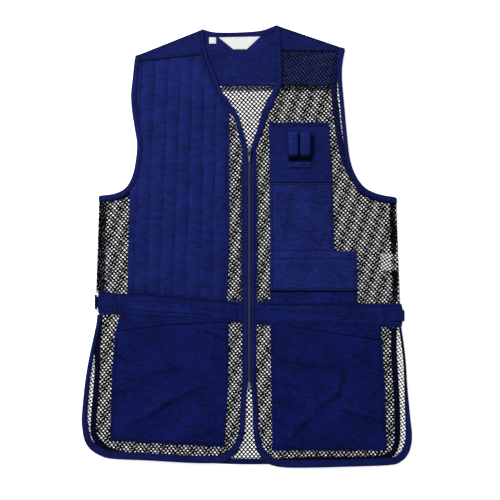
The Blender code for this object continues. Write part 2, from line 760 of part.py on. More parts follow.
def build_fronts(armholes, necks, hems):
    """The mesh and waistband of both fronts."""
    placket_r = ZIP_X - ZIP_GAP / 2 - PLACKET - SEAM
    placket_l = ZIP_X + ZIP_GAP / 2 + PLACKET + SEAM
    sides = (
        ("right", armholes[0][0], necks[0], hems[0], 1, placket_r, right_seam,
         YOKE_SEAM_RIGHT, WAIST_TOP_RIGHT, WAIST_LOW_RIGHT, -258.0),
        ("left", armholes[1][0], necks[1], hems[1], -1, placket_l, left_seam,
         YOKE_SEAM_LEFT, WAIST_TOP_LEFT, WAIST_LOW_LEFT, 268.0),
    )
    for (side, sleeve, neck, hem, turn, placket, seam, yoke_seam, waist_top,
         waist_low, band_end) in sides:
        sleeve = beside(sleeve, turn * SEAM)
        sleeve = below_line(sleeve, yoke_seam)
        edge = seam(sleeve[-1][1]) + turn * SEAM
        sleeve = cut(sleeve, 0, edge, turn > 0)
        foot = level_at(waist_top, seam(waist_top[-1][1])) + SEAM
        down = [
            (seam(y) + turn * SEAM, y) for y in np.linspace(sleeve[-1][1], foot, 9)[1:]
        ]
        waist = edge_between(waist_top, down[-1][0], placket)[1:] + (0, SEAM)
        up = straight([waist[-1], (placket, ZIP_TOP)])[1:]
        collar = below_line(beside(neck, -turn * SEAM), yoke_seam)[::-1]
        top = edge_between(yoke_seam, collar[-1][0], sleeve[0][0])[1:-1] - (0, SEAM)
        outline = np.vstack([sleeve, down, waist, up, collar[1:], top])
        panel(f"front_mesh_upper_{side}", outline, materials["mesh"], MESH)

        top = edge_between(waist_top, band_end, placket)
        low = edge_between(waist_low, band_end, placket)
        outline = np.vstack([top, low[::-1]])
        panel(f"waistband_{side}", outline, materials["cloth"], BAND)

        inside = beside(hem, turn * SEAM)
        inside[0][1], inside[-1][1] = hem[0][1], hem[-1][1]
        up = straight([(placket, inside[-1][1] + 1), (placket, level_at(waist_low, placket))])
        top = edge_between(waist_low, placket, inside[0][0]) - (0, SEAM)
        outline = np.vstack([inside[1:], up[:-1], top])
        panel(f"front_mesh_lower_{side}", outline, materials["mesh"], MESH)


def below_line(path, rows):
    """The part of a path below the line of a table, less the seam gap."""
    height = [p[1] - level_at(rows, p[0]) + SEAM for p in path]
    tagged = np.column_stack([path, height])
    return cut(tagged, 2, 0.0, False)[:, :2]


def build_zip():
    inner = (ZIP_X - ZIP_GAP / 2, ZIP_X + ZIP_GAP / 2)
    rows = np.linspace(ZIP_TOP, ZIP_LOW, 24)
    tape_rows = np.linspace(ZIP_TOP - 2, ZIP_LOW + 7, 24)
    tape_rise = TAPE_LEVEL - FRONT
    for side, edge, way in (("right", inner[0], -1), ("left", inner[1], 1)):
        near = [np.array((edge, y)) for y in rows]
        far = [np.array((edge + way * PLACKET, y)) for y in rows]
        stations = band_stations(near, far, 0.0, BINDING, BINDING)
        strip(f"placket_{side}", stations, materials["binding"])
        near = [np.array((edge, y)) for y in tape_rows]
        far = [np.array((edge + way * TAPE_WIDTH, y)) for y in tape_rows]
        stations = band_stations(near, far, 0.0, TAPE, TAPE, tape_rise)
        strip(f"zip_tape_{side}", stations, materials["zip"])
    half = CHAIN_WIDTH / 2
    near = [np.array((ZIP_X - half, y)) for y in tape_rows]
    far = [np.array((ZIP_X + half, y)) for y in tape_rows]
    stations = band_stations(near, far, 0.0, CHAIN_HEIGHT, CHAIN_HEIGHT, tape_rise)
    strip("zip_chain", stations, materials["zip"])

    low = ZIP_LOW + 7 - SEAM
    lift = wave(ZIP_X, low)
    place = (ZIP_X, low - BOX_LENGTH / 2, TAPE_LEVEL + lift + 1.75)
    block("zip_box", (CHAIN_WIDTH, BOX_LENGTH, 3.5), place, materials["metal"], 0.5)

    lift = wave(ZIP_X, SLIDER_Y)
    wide, long, tall = SLIDER
    base = SLIDER_Z + lift
    place = (ZIP_X, SLIDER_Y, base + tall / 2)
    slider = block("zip_slider", SLIDER, place, materials["metal"], 0.7)
    axis_y = SLIDER_Y + 5.0
    axis_z = base + tall + PULL_LIFT
    ears = []
    for way in (-1, 1):
        at = ZIP_X + way * (PULL[0] / 2 + SEAM + EAR[0] / 2)
        middle = base + tall - 0.5 + EAR[2] / 2
        ears.append(
            block(f"ear_{way + 1}", EAR, (at, axis_y, middle), materials["metal"])
        )
    join_blocks(slider, ears)

    half = PULL[2] / 2
    start = math.asin(half / PULL_PIN)
    turns = np.linspace(start - math.pi, math.pi - start, 11)
    profile = [
        (axis_y + PULL_PIN * math.cos(t), axis_z + PULL_PIN * math.sin(t)) for t in turns
    ]
    profile += [(axis_y - PULL[1], axis_z + half), (axis_y - PULL[1], axis_z - half)]
    wide = PULL[0] / 2
    pull = prism(
        "zip_pull", profile, ZIP_X - wide, ZIP_X + wide, 0, materials["metal"]
    )
    for vert in pull.data.vertices:
        if vert.co.y < (axis_y - PULL[1] + 1) * MM:
            vert.co.x = ZIP_X * MM + (vert.co.x - ZIP_X * MM) * 0.6


def quilt_relief(point):
    """How high the padding stands between its stitch lines, from 0 to 1."""
    share = (QUILT_TOP_Y - point[1]) / (QUILT_TOP_Y - QUILT_LOW_Y)
    lines = [top + (low - top) * share for top, low in QUILT_LINES]
    if not lines[0] <= point[0] <= lines[-1]:
        return 0.0
    k = min(int(np.searchsorted(lines, point[0], side="right")) - 1, len(lines) - 2)
    across = (point[0] - lines[k]) / (lines[k + 1] - lines[k])
    stations = np.linspace(0, 1, len(QUILT_SHAPE) + 1)
    return float(np.interp(across, stations, (*QUILT_SHAPE, QUILT_SHAPE[0])))


def build_quilt(sleeve, neck):
    """The quilted pad of the right shoulder, padded between its stitch lines."""
    clear = 2 * SEAM
    side = below_line(beside(sleeve, clear), YOKE_SEAM_RIGHT)
    side = cut(side, 0, QUILT_LEFT[0][0], True)
    left = straight(QUILT_LEFT)
    low = edge_between(WAIST_TOP_RIGHT, left[-1][0], QUILT_RIGHT[-1][0]) + (0, clear)
    right = straight(QUILT_RIGHT[::-1])[1:]
    collar = cut(beside(neck, -clear), 0, QUILT_RIGHT[0][0], False)
    collar = below_line(collar, YOKE_SEAM_RIGHT)[::-1]
    top = edge_between(YOKE_SEAM_RIGHT, collar[-1][0], side[0][0])[1:-1] - (0, clear)
    outline = np.vstack([side, left[1:-1], low, right, collar, top])
    rows = np.arange(outline[:, 1].min(), outline[:, 1].max(), QUILT_ROW)
    lines = []
    parts = len(QUILT_SHAPE)
    for j in range(len(QUILT_LINES) - 1):
        for part in range(parts):
            share = part / parts
            high = QUILT_LINES[j][0] * (1 - share) + QUILT_LINES[j + 1][0] * share
            lows = QUILT_LINES[j][1] * (1 - share) + QUILT_LINES[j + 1][1] * share
            line = []
            for y in rows:
                along = (QUILT_TOP_Y - y) / (QUILT_TOP_Y - QUILT_LOW_Y)
                line.append((high + (lows - high) * along, y))
            line = np.array(line)
            keep = within(line, outline) & (clearance(line, outline) > 3.5)
            runs = np.split(np.arange(len(line)), np.flatnonzero(np.diff(keep)) + 1)
            lines += [line[run] for run in runs if keep[run[0]]]
    flat, faces = fill(outline, (), lines)
    edge = clearance(flat, outline)
    level = np.zeros(2)
    pairs = []
    for point, away in zip(flat, edge):
        rise = QUILT_RISE * quilt_relief(point) * min(away / QUILT_EDGE, 1.0)
        pairs.append(stand(point, 0.0, level, QUILT_BASE + rise, ON_MESH))
    wall("quilt_pad", flat, faces, pairs, materials["cloth"])


def build_pockets():
    """The lower pockets, the chest patch with its pocket, and the flapped pocket."""
    low_level = ON_MESH
    front_level = ON_MESH + CLOTH + SEAM
    below = (0, -2 * SEAM)
    base = straight(POCKET_RIGHT)
    inner = straight(POCKET_RIGHT_IN)[1:-1]
    top = edge_between(WAIST_LOW_RIGHT, POCKET_RIGHT_IN[-1][0], -223)[:-1] + below
    outline = np.vstack([base, inner, top, [(-223, level_at(WAIST_LOW_RIGHT, -223) - 0.6)]])
    panel("pocket_back_right", outline, materials["cloth"], CLOTH, low_level)
    mouth = straight(MOUTH_RIGHT[::-1])
    outline = np.vstack([base[1:], inner, mouth])
    panel("pocket_front_right", outline, materials["cloth"], CLOTH, front_level)

    inner = straight(POCKET_LEFT)
    outer = straight(POCKET_LEFT_OUT)[1:]
    top = edge_between(WAIST_LOW_LEFT, outer[-1][0], inner[-1][0])[:-1] + below
    outline = np.vstack([outer, top, inner[::-1]])
    panel("pocket_back_left", outline, materials["cloth"], CLOTH, low_level)
    mouth = straight(MOUTH_LEFT[::-1])
    outline = np.vstack([outer[:-1], mouth, inner[:-1][::-1]])
    panel("pocket_front_left", outline, materials["cloth"], CLOTH, front_level)

    cloth = materials["cloth"]
    panel("chest_patch", side_wall(CHEST_PATCH), cloth, CLOTH, low_level)
    panel("chest_pocket", side_wall(CHEST_POCKET), cloth, CLOTH, ON_PATCH)
    panel("flap_pocket_body", side_wall(FLAP_BODY), cloth, CLOTH, low_level)
    panel("pocket_flap", side_wall(POCKET_FLAP), cloth, CLOTH, ON_PATCH)


def tube_ring(middle, y, width, height, base):
    ring = []
    for k in range(TUBE_POINTS):
        turn = 2 * math.pi * k / TUBE_POINTS
        across, up = math.cos(turn), math.sin(turn)
        across = math.copysign(abs(across) ** 0.7, across)
        up = math.copysign(abs(up) ** 0.7, up)
        ring.append((middle + across * width / 2, y, base + (1 + up) * height / 2))
    return ring


def build_tubes():
    """Two open tubes for shells, sewn to the chest patch at their low ends."""
    for number, middle in enumerate(TUBE_X, 1):
        base = FRONT + ON_PATCH + wave(middle, TUBE_ROWS[1][0]) + SEAM / 2
        outer = [tube_ring(middle, y, w, h, base) for y, w, h in TUBE_ROWS]
        outer.append(tube_ring(middle, *TUBE_END, base))
        thin = 2 * TUBE_WALL
        inner = [
            tube_ring(middle, y, w - thin, h - thin, base + TUBE_WALL)
            for y, w, h in TUBE_ROWS
        ]
        rings = outer[::-1] + inner
        points = [p for ring in rings for p in ring]
        faces = [tuple(range(TUBE_POINTS))]
        last = (len(rings) - 1) * TUBE_POINTS
        faces.append(tuple(range(last, last + TUBE_POINTS))[::-1])
        for i in range(len(rings) - 1):
            for k in range(TUBE_POINTS):
                n = (k + 1) % TUBE_POINTS
                a, b = i * TUBE_POINTS, (i + 1) * TUBE_POINTS
                faces.append((a + k, a + n, b + n, b + k))
        add_mesh(f"shell_loop_{number}", points, faces, materials["elastic"])
    panel(
        "loop_base", xy(TUBE_BASE), materials["elastic"], BINDING, ON_PATCH, plain=True
    )


def build_straps():
    """The waist straps round the side folds, and the keeper on the right one."""
    bend = (FRONT + ON_BAND + STRAP) / 2
    for side, row, edge_x in (
        ("right", STRAP_RIGHT, STRAP_EDGE_RIGHT), ("left", STRAP_LEFT, STRAP_EDGE_LEFT),
    ):
        high, low, front_end, back_end = row
        way = 1 if edge_x > 0 else -1
        foot = edge_x - way * bend
        out = np.array((float(way), 0.0))
        front = [
            (np.array((x, high)), np.array((x, low)))
            for x in np.linspace(front_end, foot, STRAP_STEP)
        ]
        stations = [
            tuple(stand(p, 0.0, out, STRAP, ON_BAND) for p in pair) for pair in front
        ]
        for k in range(1, 2 * FOLD_STEPS):
            angle = math.pi * k / (2 * FOLD_STEPS)
            stations.append(
                tuple(stand(p, angle, out, STRAP, ON_BAND) for p in front[-1])
            )
        for x in np.linspace(foot, back_end, 3):
            pair = (np.array((x, high)), np.array((x, low)))
            stations.append(tuple(stand(p, math.pi, out, STRAP, ON_BAND) for p in pair))
        strip(f"waist_strap_{side}", stations, materials["binding"])
    wide, long, _ = KEEPER
    inner = STRAP_EDGE_RIGHT - SEAM
    top = FRONT + ON_BAND + STRAP + 2 * SEAM
    profile = (
        (inner - wide, 0.0), (inner, 0.0), (inner, top), (inner + 5.5, top),
        (inner + 5.5, top + 1.4), (inner - wide, top + 1.4),
    )
    middle = (STRAP_RIGHT[0] + STRAP_RIGHT[1]) / 2
    prism(
        "strap_keeper_right", profile, middle - long / 2, middle + long / 2, 1,
        materials["webbing"],
    )


def build_labels():
    band = back_neck_path()
    inner = square_ended(band, -NECK_BAND)
    stations = band_stations(band, inner, math.pi, BACK_BINDING, BACK_BINDING)
    strip("back_neck_band", stations, materials["binding"])
    level = CLOTH + SEAM
    back_panel("neck_label", xy(NECK_LABEL), materials["label"], level, LABEL)
    back_panel("size_label", xy(SIZE_LABEL), materials["label"], level, LABEL)
    back_panel("care_label", xy(CARE_LABEL), materials["label"], MESH + SEAM, TAPE)


def centre_on_origin():
    """Moves every piece so that the middle of the whole vest's box is at X and Y 0."""
    low, high = np.full(3, 1e9), np.full(3, -1e9)
    for obj in collection.objects:
        for vert in obj.data.vertices:
            low = np.minimum(low, vert.co)
            high = np.maximum(high, vert.co)
    shift = Vector((-(low[0] + high[0]) / 2, -(low[1] + high[1]) / 2, 0.0))
    for obj in [*collection.objects, *helpers.objects]:
        for vert in obj.data.vertices:
            vert.co += shift


def build():
    side_folds = (Fold(SIDE_RIGHT), Fold(SIDE_LEFT))
    shoulders = (Fold(SHOULDER_RIGHT), Fold(SHOULDER_LEFT))
    armholes = (
        armhole_binding(
            "armhole_binding_right", ARMHOLE_RIGHT, BACK_ARMHOLE_RIGHT,
            shoulders[0], side_folds[0], 1,
        ),
        armhole_binding(
            "armhole_binding_left", ARMHOLE_LEFT, BACK_ARMHOLE_LEFT,
            shoulders[1], side_folds[1], -1,
        ),
    )
    necks = (
        neck_binding("neck_binding_right", NECK_RIGHT, shoulders[0], -1),
        neck_binding("neck_binding_left", NECK_LEFT, shoulders[1], 1),
    )
    hems = (
        hem_binding("hem_binding_right", HEM_RIGHT, 1),
        hem_binding("hem_binding_left", HEM_LEFT, -1),
    )
    build_back(side_folds, armholes)
    build_yoke(shoulders, armholes, necks)
    build_fronts(armholes, necks, hems)
    build_zip()
    build_quilt(armholes[0][0], necks[0])
    build_pockets()
    build_tubes()
    build_straps()
    build_labels()
    centre_on_origin()


clear_scene()
collection = bpy.data.collections.new("mesh_shooting_vest")
helpers = bpy.data.collections.new("joined_blocks")
bpy.context.scene.collection.children.link(collection)
bpy.context.scene.collection.children.link(helpers)
materials = make_materials()
build()
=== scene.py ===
"""Looks of the mesh shooting vest, laid flat on its back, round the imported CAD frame.

Plan sizes are millimetres in the same plan as the part: +X to the wearer's left, +Y to
the collar, Z up from the floor. The net is real open geometry, one small frame of yarn
for each hole. Cloth pieces are thin closed shells on the form of their solids.
"""

import math
from collections import namedtuple

import bmesh
import bpy
import numpy as np
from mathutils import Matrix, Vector, noise
from mathutils.geometry import delaunay_2d_cdt


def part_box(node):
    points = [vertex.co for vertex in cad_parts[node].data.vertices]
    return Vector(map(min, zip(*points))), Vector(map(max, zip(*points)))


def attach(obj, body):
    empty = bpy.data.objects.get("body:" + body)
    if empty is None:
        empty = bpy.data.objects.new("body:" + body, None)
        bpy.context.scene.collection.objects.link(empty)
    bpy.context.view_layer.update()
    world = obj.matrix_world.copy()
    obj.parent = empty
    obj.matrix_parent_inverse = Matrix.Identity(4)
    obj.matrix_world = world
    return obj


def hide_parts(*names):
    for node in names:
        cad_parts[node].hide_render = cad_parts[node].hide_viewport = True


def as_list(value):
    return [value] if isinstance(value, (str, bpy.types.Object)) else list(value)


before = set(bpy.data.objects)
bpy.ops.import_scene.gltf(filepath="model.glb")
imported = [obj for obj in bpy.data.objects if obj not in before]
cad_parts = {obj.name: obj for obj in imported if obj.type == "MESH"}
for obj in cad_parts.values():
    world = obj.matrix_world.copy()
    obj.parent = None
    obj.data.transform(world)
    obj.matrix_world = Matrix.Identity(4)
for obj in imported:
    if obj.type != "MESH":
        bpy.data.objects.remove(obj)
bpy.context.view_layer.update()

MM = 0.001

# Levels of the part, in millimetres
SEAM = 0.3
MESH = 1.2
CLOTH = 1.2
BAND = 1.5
BINDING = 2.0
BACK_BINDING = 1.5
FRONT = 2.4
ON_MESH = MESH + SEAM
ON_PATCH = ON_MESH + CLOTH + SEAM
ON_BAND = BAND + SEAM
FOLD_RADIUS = (FRONT + MESH) / 2
FOLD_LENGTH = 6.0
FOLD_STEPS = 8
FOLD_REACH = 30.0

# Widths of the sewn bands. The left armhole's is narrower between two levels of y
ARMHOLE_BAND = 9.6
ARMHOLE_NARROW = 2.7
NARROW_LOW = (112, 150)
NARROW_HIGH = (285, 322)
BACK_HEM_BAND = 9.0
NECK_BAND = 8.0
NECK_END = 1.1

# Spacing of the points of an edge
EDGE_STEP = 5.0

# Broad waves of the fronts over the back. Columns: start x, y, end x, y, height, width
WAVES = (
    (-150, 60, -120, 250, 1.5, 45),
    (-205, -175, -150, -330, 2.2, 40),
    (-60, -150, -90, -340, 1.8, 38),
    (90, -160, 60, -330, 2.0, 40),
    (195, -190, 150, -350, 2.2, 42),
    (110, 40, 130, 230, 1.4, 45),
    (215, 55, 190, -60, 1.6, 36),
    (-228, 50, -215, -50, 1.4, 34),
    (-40, -60, -30, 120, 1.0, 34),
)

# Fold edges. Columns: start x, y, end x, y, with the outside on the left of the way
SHOULDER_RIGHT = (-196.0, 332.5, -77.0, 380.0)
SHOULDER_LEFT = (50.0, 387.0, 171.5, 345.6)
SIDE_RIGHT = (-264.4, -77.0, -258.7, 85.0)
SIDE_LEFT = (261.0, 85.0, 268.0, -100.0)

# Side seams: inset from the fold, y of the low end, and where the back's low edge ends
SEAM_IN_RIGHT = 6.0
SEAM_IN_LEFT = 10.0
SEAM_LOW_RIGHT = -76.5
SEAM_LOW_LEFT = -100.8
BACK_END_X = 264

# Armhole edges, from the shoulder to the side. Columns: x, y
ARMHOLE_RIGHT = (
    (-196.0, 332.5), (-200, 296), (-203, 264), (-201, 235), (-196, 203), (-192.5, 180),
    (-194, 155), (-200, 125), (-212, 103), (-232, 92.5), (-258.5, 89),
)
ARMHOLE_LEFT = (
    (171.5, 345.6), (166.5, 317), (166, 290), (169, 255), (175, 191), (180, 152),
    (189, 126), (205, 104), (229, 92), (261.5, 86),
)
BACK_ARMHOLE_RIGHT = (
    (-196.0, 332.5), (-188, 314), (-183, 290), (-182, 262), (-185, 232), (-187, 200),
    (-183, 165), (-186, 140), (-196, 115), (-212, 98), (-234, 90), (-258.5, 88),
)
BACK_ARMHOLE_LEFT = (
    (171.5, 345.6), (164, 328), (159, 299), (157.5, 269), (161, 238), (165, 203),
    (171, 168), (180, 141), (195, 114), (211, 97), (234, 88), (261.5, 84),
)

# Neck edge of each front, from the shoulder to the zip. Columns: x, y, band width
NECK_RIGHT = (
    (-77, 380, 5), (-73.5, 352, 5), (-69.5, 334, 6), (-63, 318, 8), (-55, 298, 8),
    (-43, 270, 8), (-30, 252, 8), (-19, 236, 8), (-12, 220, 8), (-7, 203, 8.5),
    (-2, 185, 9), (1.0, 171.5, 9),
)
NECK_LEFT = (
    (50, 387, 8), (52, 340, 8), (52.5, 292, 9), (44.5, 273, 11), (35, 255, 12),
    (27, 238, 12), (21.5, 220, 11), (17, 203, 10), (11, 186, 9.5), (6.5, 171.5, 9),
)
BACK_NECK = (
    (-77, 380), (-65, 376.3), (-52, 374.5), (-26, 374.3), (5, 375.5), (26, 378),
    (39, 382.3), (50, 387),
)

# Edges of the yoke and of the waistbands, and where the yoke's front seams meet the
# armhole and neck bindings. Columns: x, y
YOKE_SEAM_RIGHT = ((-195, 321), (-135, 329), (-60, 337))
YOKE_SEAM_LEFT = ((45, 341), (180, 341))
YOKE_BACK_Y = 280.0
YOKE_SLEEVE_RIGHT_X = -186
YOKE_SLEEVE_LEFT_X = 160
YOKE_COLLAR_X = -76
WAIST_TOP_RIGHT = ((-258, -77), (-231, -83), (-187, -84), (-100, -92), (-8, -98))
WAIST_LOW_RIGHT = ((-258, -116.5), (-224, -118), (-117, -126), (-8, -133))
WAIST_TOP_LEFT = ((15.5, -98), (93, -99.7), (268, -101.5))
WAIST_LOW_LEFT = ((15.5, -134.7), (75, -138), (268, -140))
WAIST_TOP_BACK = ((-262, -78), (-130, -92), (0, -97), (266, -101))

# Vent and hem edge of each front, from the waist round to the zip. Columns: x, y, width
HEM_RIGHT = (
    (-259.5, -118, 6), (-268, -157, 7), (-276, -194, 7), (-283, -236, 8),
    (-288, -285, 9), (-289, -308, 10), (-284.5, -337, 11), (-275, -353, 12),
    (-258, -364.5, 12), (-235, -371, 12), (-170, -374, 12), (-100, -378, 12),
    (-58, -378.5, 12), (-40, -376, 12), (-27, -368, 12), (-16, -356, 11),
    (-8, -340, 10), (-3.5, -316, 9), (-1.8, -280, 9), (0.4, -243.5, 9),
)
HEM_LEFT = (
    (269.5, -141.5, 4), (274, -173, 4), (277.5, -205, 4.2), (280, -245, 5),
    (285, -298, 8), (288, -325, 10), (287, -345, 11), (281, -363, 12),
    (269, -375.5, 12), (248, -382, 12), (163, -385, 12), (100, -386.5, 12),
    (66, -386, 12), (45, -382.5, 12), (29, -375, 12), (18.5, -358, 11),
    (13, -339, 10), (10.5, -315, 9), (9.5, -280, 9), (7.3, -243.5, 9),
)
HEM_BACK = (
    (-262, -119), (-266, -164), (-267, -217), (-270, -262), (-273.5, -305),
    (-273, -328), (-266, -344), (-250, -357), (-225, -366), (-195, -371),
    (-100, -377), (-20, -380.5), (40, -380.5), (110, -378), (200, -377),
    (238, -374.5), (256, -366), (265, -350), (268, -325), (267, -275),
    (264, -225), (261.5, -175), (262, -142),
)

# The left vent's binding has painted shade above these levels of y, beyond this x
VENT_SHADE = (-300, -240)
VENT_X = 250

# Zip
ZIP_X = 3.75
ZIP_GAP = 5.1
ZIP_SHOWS = 2.8
ZIP_TAPE = 0.6
ZIP_TAPE_IN = 0.3
ZIP_TAPE_OUT = 8.0
ZIP_STEPS = 84
PLACKET = 8.9
ZIP_TOP = 171.2
ZIP_LOW = -243.2
TAPE_LEVEL = 1.5
SLIDER_Y = 162.5

# Quilting. Columns of the lines: x at the top station, x at the low station. The levels
# of their points are a first y, a last y and a step
QUILT_TOP_Y = 290.0
QUILT_LOW_Y = -60.0
QUILT_LINES = (
    (-206, -220), (-184, -198), (-162, -175), (-139, -151.5), (-117, -129.5),
    (-96, -107), (-75, -82), (-54, -61), (-33, -40),
)
QUILT_LEVELS = (340, -110, -4.0)
QUILT_BASE = 1.6
QUILT_RISE = 2.4
QUILT_EDGE = 7.0
QUILT_PITCH = 3.2
QUILT_BORDER = 5.0
QUILT_WOBBLE = (0.5, 0.3)
QUILT_PUCKER = 0.16

# Mouths of the lower pockets. Columns: x, y
MOUTH_RIGHT = ((-230, -149.5), (-135, -137.5), (-31.5, -132.5))
MOUTH_LEFT = ((41, -138), (75, -140.5), (155, -153.5), (234.5, -165))

# Shell loops. Columns: y, width, height. They are gathered at the low end, which has painted
# shade
TUBE_X = (80.4, 101.4)
TUBE_ROWS = (
    (198, 19.6, 12.0), (191, 19.4, 11.8), (184, 19.2, 11.6), (176, 19.3, 11.4),
    (168, 19.4, 11.0), (162, 18.8, 9.8), (156, 18.0, 8.0), (153.4, 17.4, 5.6),
    (151.5, 17.0, 4.0),
)
TUBE_LIFT = 0.15
TUBE_INSET = 0.25
TUBE_LIP = 0.8
TUBE_WALL = 1.5
TUBE_RIB = 0.22
TUBE_GATHER = 0.55
TUBE_GATHER_Y = 158
TUBE_SHADE_Y = 160
TUBE_SHADE_X = 8.7
TUBE_POINTS = 56
TUBE_RIBS = 14

# Waist straps. Columns: y high, y low, x of the end on the front, x of the end behind
STRAP_RIGHT = (-87.5, -106.0, -234.5, -238.0)
STRAP_LEFT = (-111.0, -130.5, 250.0, 246.0)
STRAP = 1.2
STRAP_EDGE_RIGHT = -264.0
STRAP_EDGE_LEFT = 275.0
KEEPER = 26.0
KEEPER_WALL = 1.3

# Fine creases of each piece. Columns: start x, y, end x, y, height, width
CREASES = {
    "pocket_front_right": (
        (-230, -184, -206, -198, 1.8, 4), (-72, -147, -36, -158, 1.8, 4),
        (-62, -139, -34, -143, 1.2, 3), (-170, -290, -140, -270, 1.9, 7),
        (-140, -270, -84, -244, 1.5, 8), (-208, -306, -168, -292, 1.3, 8),
        (-110, -330, -60, -318, 0.9, 9), (-232, -250, -190, -244, 1.0, 6),
        (-206, -226, -120, -206, 0.8, 10),
    ),
    "pocket_front_left": (
        (168, -282, 206, -295, 1.9, 4.5), (206, -295, 240, -304, 1.6, 4.5),
        (210, -262, 238, -236, 1.0, 7), (164, -222, 156, -256, 1.6, 7),
        (156, -256, 118, -280, 1.8, 7), (76, -332, 96, -306, 1.6, 6),
        (96, -306, 124, -286, 1.0, 8), (56, -232, 90, -240, 1.0, 7),
        (52, -262, 96, -276, 0.9, 8), (56, -190, 140, -206, 0.8, 12),
        (198, -190, 234, -214, 1.0, 6),
    ),
    "pocket_back_left": (
        (197, -143, 221, -163, 1.4, 3.2),
    ),
    "pocket_back_right": (
        (-224, -122, -212, -140, 0.9, 3), (-210, -121, -196, -134, 0.8, 3),
    ),
    "chest_pocket": (
        (56, 96, 136, 84, 0.5, 12), (60, 8, 70, 90, 0.6, 10), (128, 12, 140, 70, 0.7, 9),
    ),
    "pocket_flap": (
        (54, -30, 150, -24, 0.5, 12), (160, -62, 186, -40, 0.6, 9),
    ),
    "waistband_right": (
        (-206, -108, -140, -113, 1.2, 2.2), (-140, -113, -70, -117, 1.1, 2.2),
        (-200, -118.5, -110, -122, 0.9, 2.2), (-180, -92, -100, -99, 0.7, 3.0),
        (-96, -104, -34, -109, 0.6, 3.0), (-232, -84, -228, -114, 1.3, 2.2),
        (-222, -84, -219, -114, 1.0, 2.2),
    ),
    "waistband_left": (
        (40, -108, 150, -112, 0.7, 4), (60, -127, 160, -129, 0.7, 3),
        (150, -118, 236, -116, 0.6, 4), (206, -104, 226, -122, 1.2, 2.6),
        (236, -104, 238, -136, 0.9, 2.4),
    ),
    "flap_pocket_body": (
        (60, -79, 66, -96, 0.7, 2.6), (100, -79, 108, -95, 0.7, 2.6),
        (150, -79, 143, -96, 0.8, 2.6),
    ),
}

# Doubled net at seams, on the inside of the back or on the fronts. Columns: x, y
SEAM_NETS = (
    ("side_right", "back", ((-257.5, 82), (-246, 82), (-249, -76), (-262.5, -76))),
    ("side_left", "back", ((259, 79), (249, 79), (254, -97), (262.5, -97))),
    ("yoke", "back", ((-44, 272.2), (-44, 280.4), (156.5, 280.4), (156, 273.6))),
    ("edge_right", "front", ((-12.0, 141), (-8.2, 141), (-8.2, -91), (-12.0, -91))),
    ("edge_left", "front", ((15.4, 141), (19.2, 141), (19.2, -91), (15.4, -91))),
    ("waist_right", "front", ((-30.6, -90), (-8.5, -92), (-8.5, -97), (-34.5, -94))),
    ("waist_left", "front", ((15.5, -92), (40.6, -92), (40.6, -97.5), (15.5, -97.5))),
)

# From the plan of the tables to the frame, in millimetres
low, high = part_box("zip_slider")
SHIFT = np.array(
    [(low.x + high.x) / 2 / MM - ZIP_X, (low.y + high.y) / 2 / MM - SLIDER_Y, 0]
)


# ---------------------------------------------------------------- plan geometry


def xy(rows):
    return np.array([row[:2] for row in rows], float)


def smooth(rows):
    """A curve through the rows of a table, with a point about every EDGE_STEP."""
    knots = np.array(rows, float)
    padded = np.vstack([2 * knots[0] - knots[1], knots, 2 * knots[-1] - knots[-2]])
    out = [knots[0]]
    for i in range(len(knots) - 1):
        before, start, end, after = padded[i : i + 4]
        count = max(1, round(np.linalg.norm((end - start)[:2]) / EDGE_STEP))
        for t in np.linspace(0, 1, count + 1)[1:]:
            out.append(0.5 * (
                2 * start
                + (end - before) * t
                + (2 * before - 5 * start + 4 * end - after) * t**2
                + (3 * start - before - 3 * end + after) * t**3
            ))
    return np.array(out)


def straight(rows, step=EDGE_STEP):
    """The straight lines between the rows of a table, with a point about every step."""
    knots = xy(rows)
    out = [knots[0]]
    for start, end in zip(knots[:-1], knots[1:]):
        count = max(1, round(np.linalg.norm(end - start) / step))
        out += [start + (end - start) * k / count for k in range(1, count + 1)]
    return np.array(out)


def left_of(path, closed=False):
    """Unit normals on the left of a path."""
    points = path[:, :2]
    if closed:
        way = np.roll(points, -1, axis=0) - np.roll(points, 1, axis=0)
    else:
        way = np.gradient(points, axis=0)
    way = way / np.maximum(np.linalg.norm(way, axis=1), 1e-9)[:, None]
    return np.column_stack([-way[:, 1], way[:, 0]])


def beside(path, gap, closed=False):
    """The path moved to its left by gap, a number or one for each point."""
    return path[:, :2] + left_of(path, closed) * np.reshape(gap, (-1, 1))


def cut(path, axis, limit, above):
    """The part of a path on one side of a level of x (axis 0) or y (axis 1)."""
    out = []
    for i, point in enumerate(path):
        keeps = (point[axis] > limit) == above
        if i:
            last = path[i - 1]
            if ((last[axis] > limit) == above) != keeps:
                share = (limit - last[axis]) / (point[axis] - last[axis])
                out.append(last + (point - last) * share)
        if keeps:
            out.append(point)
    return np.array(out)


def level_at(rows, x):
    """y at x on the line through the rows of a table."""
    points = xy(rows)
    return float(np.interp(x, points[:, 0], points[:, 1]))


def edge_between(rows, start, end, step=EDGE_STEP):
    """The line of a table from x start to x end."""
    count = max(1, round(abs(end - start) / step))
    return np.array([(x, level_at(rows, x)) for x in np.linspace(start, end, count + 1)])


def within(points, outline):
    """Which points are inside an outline."""
    inside = np.zeros(len(points), bool)
    for (x0, y0), (x1, y1) in zip(outline, np.roll(outline, -1, axis=0)):
        crosses = (y0 > points[:, 1]) != (y1 > points[:, 1])
        with np.errstate(divide="ignore", invalid="ignore"):
            at = x0 + (points[:, 1] - y0) * (x1 - x0) / (y1 - y0)
        inside ^= crosses & (points[:, 0] < at)
    return inside


def distance(points, path, closed=True):
    """How far each point is from a path."""
    best = np.full(len(points), 1e9)
    ends = np.roll(path, -1, axis=0) if closed else path[1:]
    for start, end in zip(path, ends):
        way = end - start
        share = np.clip(((points - start) @ way) / max(way @ way, 1e-9), 0, 1)
        away = points - start - share[:, None] * way
        best = np.minimum(best, np.linalg.norm(away, axis=1))
    return best


